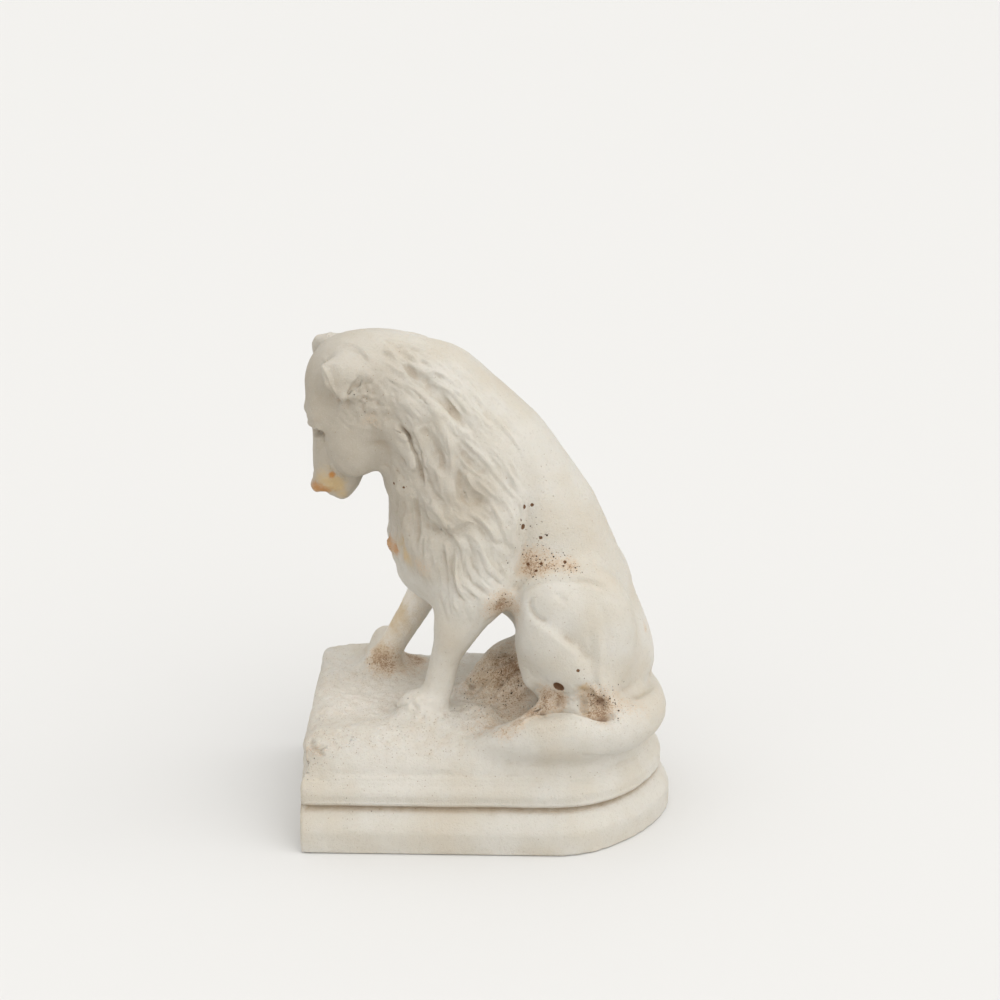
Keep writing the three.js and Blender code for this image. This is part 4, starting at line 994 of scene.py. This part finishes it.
def markGround(piece, setup):
    # dust on what faces up round the feet, and brown dirt with painted shade along the groove of the
    # moulding
    points = meshPoints(piece)
    ground = between(setup["groundFoot"], setup["groundTop"], points[:, 2])
    writeLayer(piece, "ground", ground * smoothStep(*setup["upward"], meshNormals(piece)[:, 2]))
    groove = between(setup["grooveFoot"], setup["grooveTop"], points[:, 2])
    writeLayer(piece, "groove", groove * (points[:, 0] > setup["flatEnd"]))


print("stains")
markStains(stone, stainSpots)
markGround(stone, dustSetup)


# The stone's colour and grain

class Shade:
    # one socket of a material; sums and products of shades add the nodes for them
    def __init__(self, material, socket=None):
        self.material = material
        self.socket = socket

    def add(self, kind, settings=None, inputs=None, output=0):
        node = self.material.node_tree.nodes.new(kind)
        for key, value in (settings or {}).items():
            setattr(node, key, value)
        for key, value in (inputs or {}).items():
            if isinstance(value, Shade):
                self.material.node_tree.links.new(value.socket, node.inputs[key])
            else:
                node.inputs[key].default_value = value
        return Shade(self.material, node.outputs[output])

    def maths(self, operation, *values):
        return self.add("ShaderNodeMath", {"operation": operation}, dict(enumerate(values)))

    def __add__(self, other):
        return self.maths("ADD", self, other)

    def __sub__(self, other):
        return self.maths("SUBTRACT", self, other)

    def __rsub__(self, other):
        return self.maths("SUBTRACT", other, self)

    def __mul__(self, other):
        return self.maths("MULTIPLY", self, other)

    __radd__, __rmul__ = __add__, __mul__

    def ramp(self, low, high):
        # from 0 at low to 1 at high, smooth between
        inputs = {"Value": self, "From Min": low, "From Max": high}
        return self.add("ShaderNodeMapRange", {"interpolation_type": "SMOOTHSTEP"}, inputs)

    def tint(self, other, share):
        # this colour with a share of another
        inputs = {0: share, 6: self, 7: other}
        return self.add("ShaderNodeMix", {"data_type": "RGBA"}, inputs, output=2)

    def coat(self, look, name, pattern):
        # this colour under another that comes in with the pattern
        low, high, share = look["spans"][name]
        return self.tint(look[name], pattern.ramp(low, high) * share)


stoneLook = {
    "cream": (0.56, 0.525, 0.455, 1),
    "white": (0.59, 0.565, 0.51, 1),
    "warm": (0.545, 0.485, 0.395, 1),
    "aged": (0.405, 0.357, 0.285, 1),
    "pale": (0.8, 0.755, 0.68, 1),
    "dust": (0.56, 0.42, 0.285, 1),
    "brown": (0.275, 0.165, 0.09, 1),
    # dark brown for the deepest hollows, brown dirt with painted shade, and for the bubble holes
    "darkBrown": (0.13, 0.055, 0.018, 1),
    "grooveDirtAndShade": (0.36, 0.275, 0.18, 1),
    "grit": (0.36, 0.31, 0.245, 1),
    "orange": (0.45, 0.195, 0.04, 1),
    "yellow": (0.54, 0.385, 0.185, 1),
    "pore": (0.045, 0.025, 0.014, 1),
    # painted shade for the hollows
    "hollowShade": (0.4, 0.325, 0.24, 1),
    "roughness": 0.5,
    "shine": 0.35,
    "cloudSize": 22,
    "mottleSize": 3.2,
    "grainSize": 0.45,
    "sandSize": 0.9,
    # round spots: the spacing, their radii in spacings, and their share of the places anywhere
    "specks": {"spacing": 0.75, "radii": (0.1, 0.28), "anywhere": 0.05},
    "pores": {"spacing": 1.6, "radii": (0.1, 0.24), "anywhere": 0.001},
    "pits": {"spacing": 0.95, "radii": (0.14, 0.3), "anywhere": 0.0005},
    "bumpDepth": 0.2,
    "glow": 0.12,  # light that sinks into the stone
    "glowDepth": 1.5,
    "glowColour": (1, 0.62, 0.38),
    # pattern values where a colour begins and is full, and its greatest share
    "spans": {
        "white": (0.42, 0.62, 1),
        "warm": (0.5, 0.72, 0.6),
        "grit": (0.52, 0.72, 0.22),
        "yellow": (0.1, 0.9, 0.8),
        "orange": (0.3, 0.8, 0.9),
        "brown": (0.5, 1.15, 0.9),
        "darkBrown": (0.75, 1.5, 0.8),
    },
}


def noise(place, size, detail, rough=0.55):
    inputs = {"Vector": place, "Scale": 1 / size, "Detail": detail, "Roughness": rough}
    return place.add("ShaderNodeTexNoise", {}, inputs)


def dots(place, setup, crowd):
    # round spots of uneven size; crowd is the further share of the places that have one
    inputs = {"Vector": place, "Scale": 1 / setup["spacing"]}
    away = place.add("ShaderNodeTexVoronoi", {}, inputs)
    tone = place.add("ShaderNodeTexVoronoi", {}, inputs, output=1)
    roll = place.add("ShaderNodeSeparateColor", {}, {0: tone})
    other = place.add("ShaderNodeSeparateColor", {}, {0: tone}, output=1)
    least, most = setup["radii"]
    inside = (other * (most - least) + least - away).ramp(0, 0.06)
    return inside * (crowd + setup["anywhere"] - roll).ramp(0, 0.02)


def stonePatterns(place, look):
    # what varies over the stone: noises, the mesh's layers, and round specks
    at = SimpleNamespace(place=place)
    at.cloud = noise(place, look["cloudSize"], 2)
    at.mottle = noise(place, look["mottleSize"], 4)
    at.grain = noise(place, look["grainSize"], 2)
    at.sand = noise(place, look["sandSize"], 3, 0.7)
    for name in (*stainSpots, "hollow", "ground", "groove"):
        layer = place.add("ShaderNodeAttribute", {"attribute_name": name}, output=2)
        setattr(at, name, layer)
    ground, porous = at.ground, at.porous
    at.specks = dots(place, look["specks"], ground * 0.85 + porous * 0.9)
    at.pores = dots(place, look["pores"], porous * porous * 0.9)
    at.pits = dots(place, look["pits"], porous * porous * 0.95 + ground * 0.004)
    return at


def cleanColour(at, look):
    # cream stone with white and warm clouds, painted light where the body shades the ground and the far
    # leg, painted warm shade on the faces turned from the light and under the head, painted shade in the
    # hollows, and its grain
    uneven = at.mottle - 0.5
    base = at.place.add("ShaderNodeRGB")
    base.socket.default_value = look["cream"]
    colour = base.coat(look, "white", at.cloud)
    colour = colour.coat(look, "warm", 1 - at.cloud)
    # painted light where the body shades the ground, the mound and the far leg
    colour = colour.tint(look["pale"], at.pale * 0.85)
    # painted warm shade on the faces turned from the light and under the head
    colour = colour.tint(look["aged"], (at.aged + uneven * 0.4) * 0.9)
    colour = colour.tint(look["dust"], at.ground * at.mottle.ramp(0.42, 0.7) * 0.16)
    # painted shade in the hollows, weaker on the dusty ground
    paintedHollowShade = (at.hollow + uneven * 0.12).ramp(0.06, 0.75)
    colour = colour.tint(look["hollowShade"], paintedHollowShade * (0.55 - at.ground * 0.35))
    colour = colour.tint(look["white"], at.grain.ramp(0.52, 0.75) * (0.45 - at.aged * 0.22))
    return colour.coat(look, "grit", 1 - at.sand)


def stainedColour(colour, at, look):
    # ochre on nose and chest, brown dust in ragged patches with painted shade at the eye and along the
    # tail's upper edge, dirt and painted shade in the groove
    uneven, sandy = at.mottle - 0.5, at.sand - 0.5
    colour = colour.coat(look, "yellow", at.yellow + uneven * 0.7 + sandy * 0.4)
    colour = colour.coat(look, "orange", at.orange + uneven * 0.6 + sandy * 0.5)
    patchy = at.brown + uneven * 0.7 + sandy * 1.1 + (at.grain - 0.5) * 1.2
    dusty = (patchy + 0.1).ramp(0.05, 0.8) * at.brown.ramp(0.02, 0.2)
    colour = colour.tint(look["dust"], dusty * 0.68)
    colour = colour.coat(look, "brown", patchy)
    # brown dirt and painted shade in the moulding's groove
    return colour.tint(look["grooveDirtAndShade"], at.groove * (at.mottle * 0.7 + 0.25))


def pittedColour(colour, at, look):
    # specks, pores and pits, and dark brown in the deepest hollows: brown dirt with painted shade
    colour = colour.tint(look["brown"], at.specks * (0.55 + at.porous * 0.35))
    # pores and pits are near-black dots: painted shade inside holes too small for the mesh
    colour = colour.tint(look["pore"], at.pores)
    colour = colour.tint(look["pore"], at.pits * 0.85)
    # brown dirt with painted shade: dark brown where the surface lies deepest below its surroundings
    return colour.coat(look, "darkBrown", at.hollow + at.brown * 0.5)


def holedColour(colour, at, look, setup):
    # dark brown with a ragged edge in and just round each bubble hole
    start, full = setup["darkening"]
    for centre, radius, _ in bubbles:
        inputs = {0: at.place, 1: centre}
        away = at.place.add("ShaderNodeVectorMath", {"operation": "DISTANCE"}, inputs, output=1)
        away = away + (at.grain - 0.5) * setup["ragged"]
        darkening = away.ramp(radius * start, radius * full)
        colour = colour.tint(look["darkBrown"], darkening * setup["darkness"])
    return colour


def stoneRelief(at, look):
    relief = at.mottle * 0.6 + at.grain * (0.5 + at.porous * 0.5 + at.ground * 0.6)
    relief = relief + at.sand * (0.8 + at.ground * 0.8)
    relief = relief - at.pores * 1.4 - at.specks * 0.5 - at.pits * 1.2
    inputs = {"Strength": 1, "Distance": look["bumpDepth"] * mm, "Height": relief}
    return at.place.add("ShaderNodeBump", {}, inputs)


def stoneMaterial(look):
    material = bpy.data.materials.new("creamStone")
    material.use_nodes = True
    where = Shade(material).add("ShaderNodeTexCoord", output=3)
    place = where.add("ShaderNodeVectorMath", {"operation": "MULTIPLY"}, {0: where, 1: (1 / mm,) * 3})
    at = stonePatterns(place, look)
    colour = stainedColour(cleanColour(at, look), at, look)
    colour = holedColour(pittedColour(colour, at, look), at, look, bubbleSetup)
    varying = {
        "Base Color": colour,
        "Roughness": at.mottle * 0.16 + at.grain * 0.08 + look["roughness"],
        "Normal": stoneRelief(at, look),
    }
    shader = material.node_tree.nodes["Principled BSDF"]
    for name, shade in varying.items():
        material.node_tree.links.new(shade.socket, shader.inputs[name])
    shader.inputs["Specular IOR Level"].default_value = look["shine"]
    shader.inputs["Subsurface Weight"].default_value = look["glow"]
    shader.inputs["Subsurface Radius"].default_value = look["glowColour"]
    shader.inputs["Subsurface Scale"].default_value = look["glowDepth"] * mm
    return material


stone.data.materials.append(stoneMaterial(stoneLook))

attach(stone, "root")
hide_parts("dog_bookend")
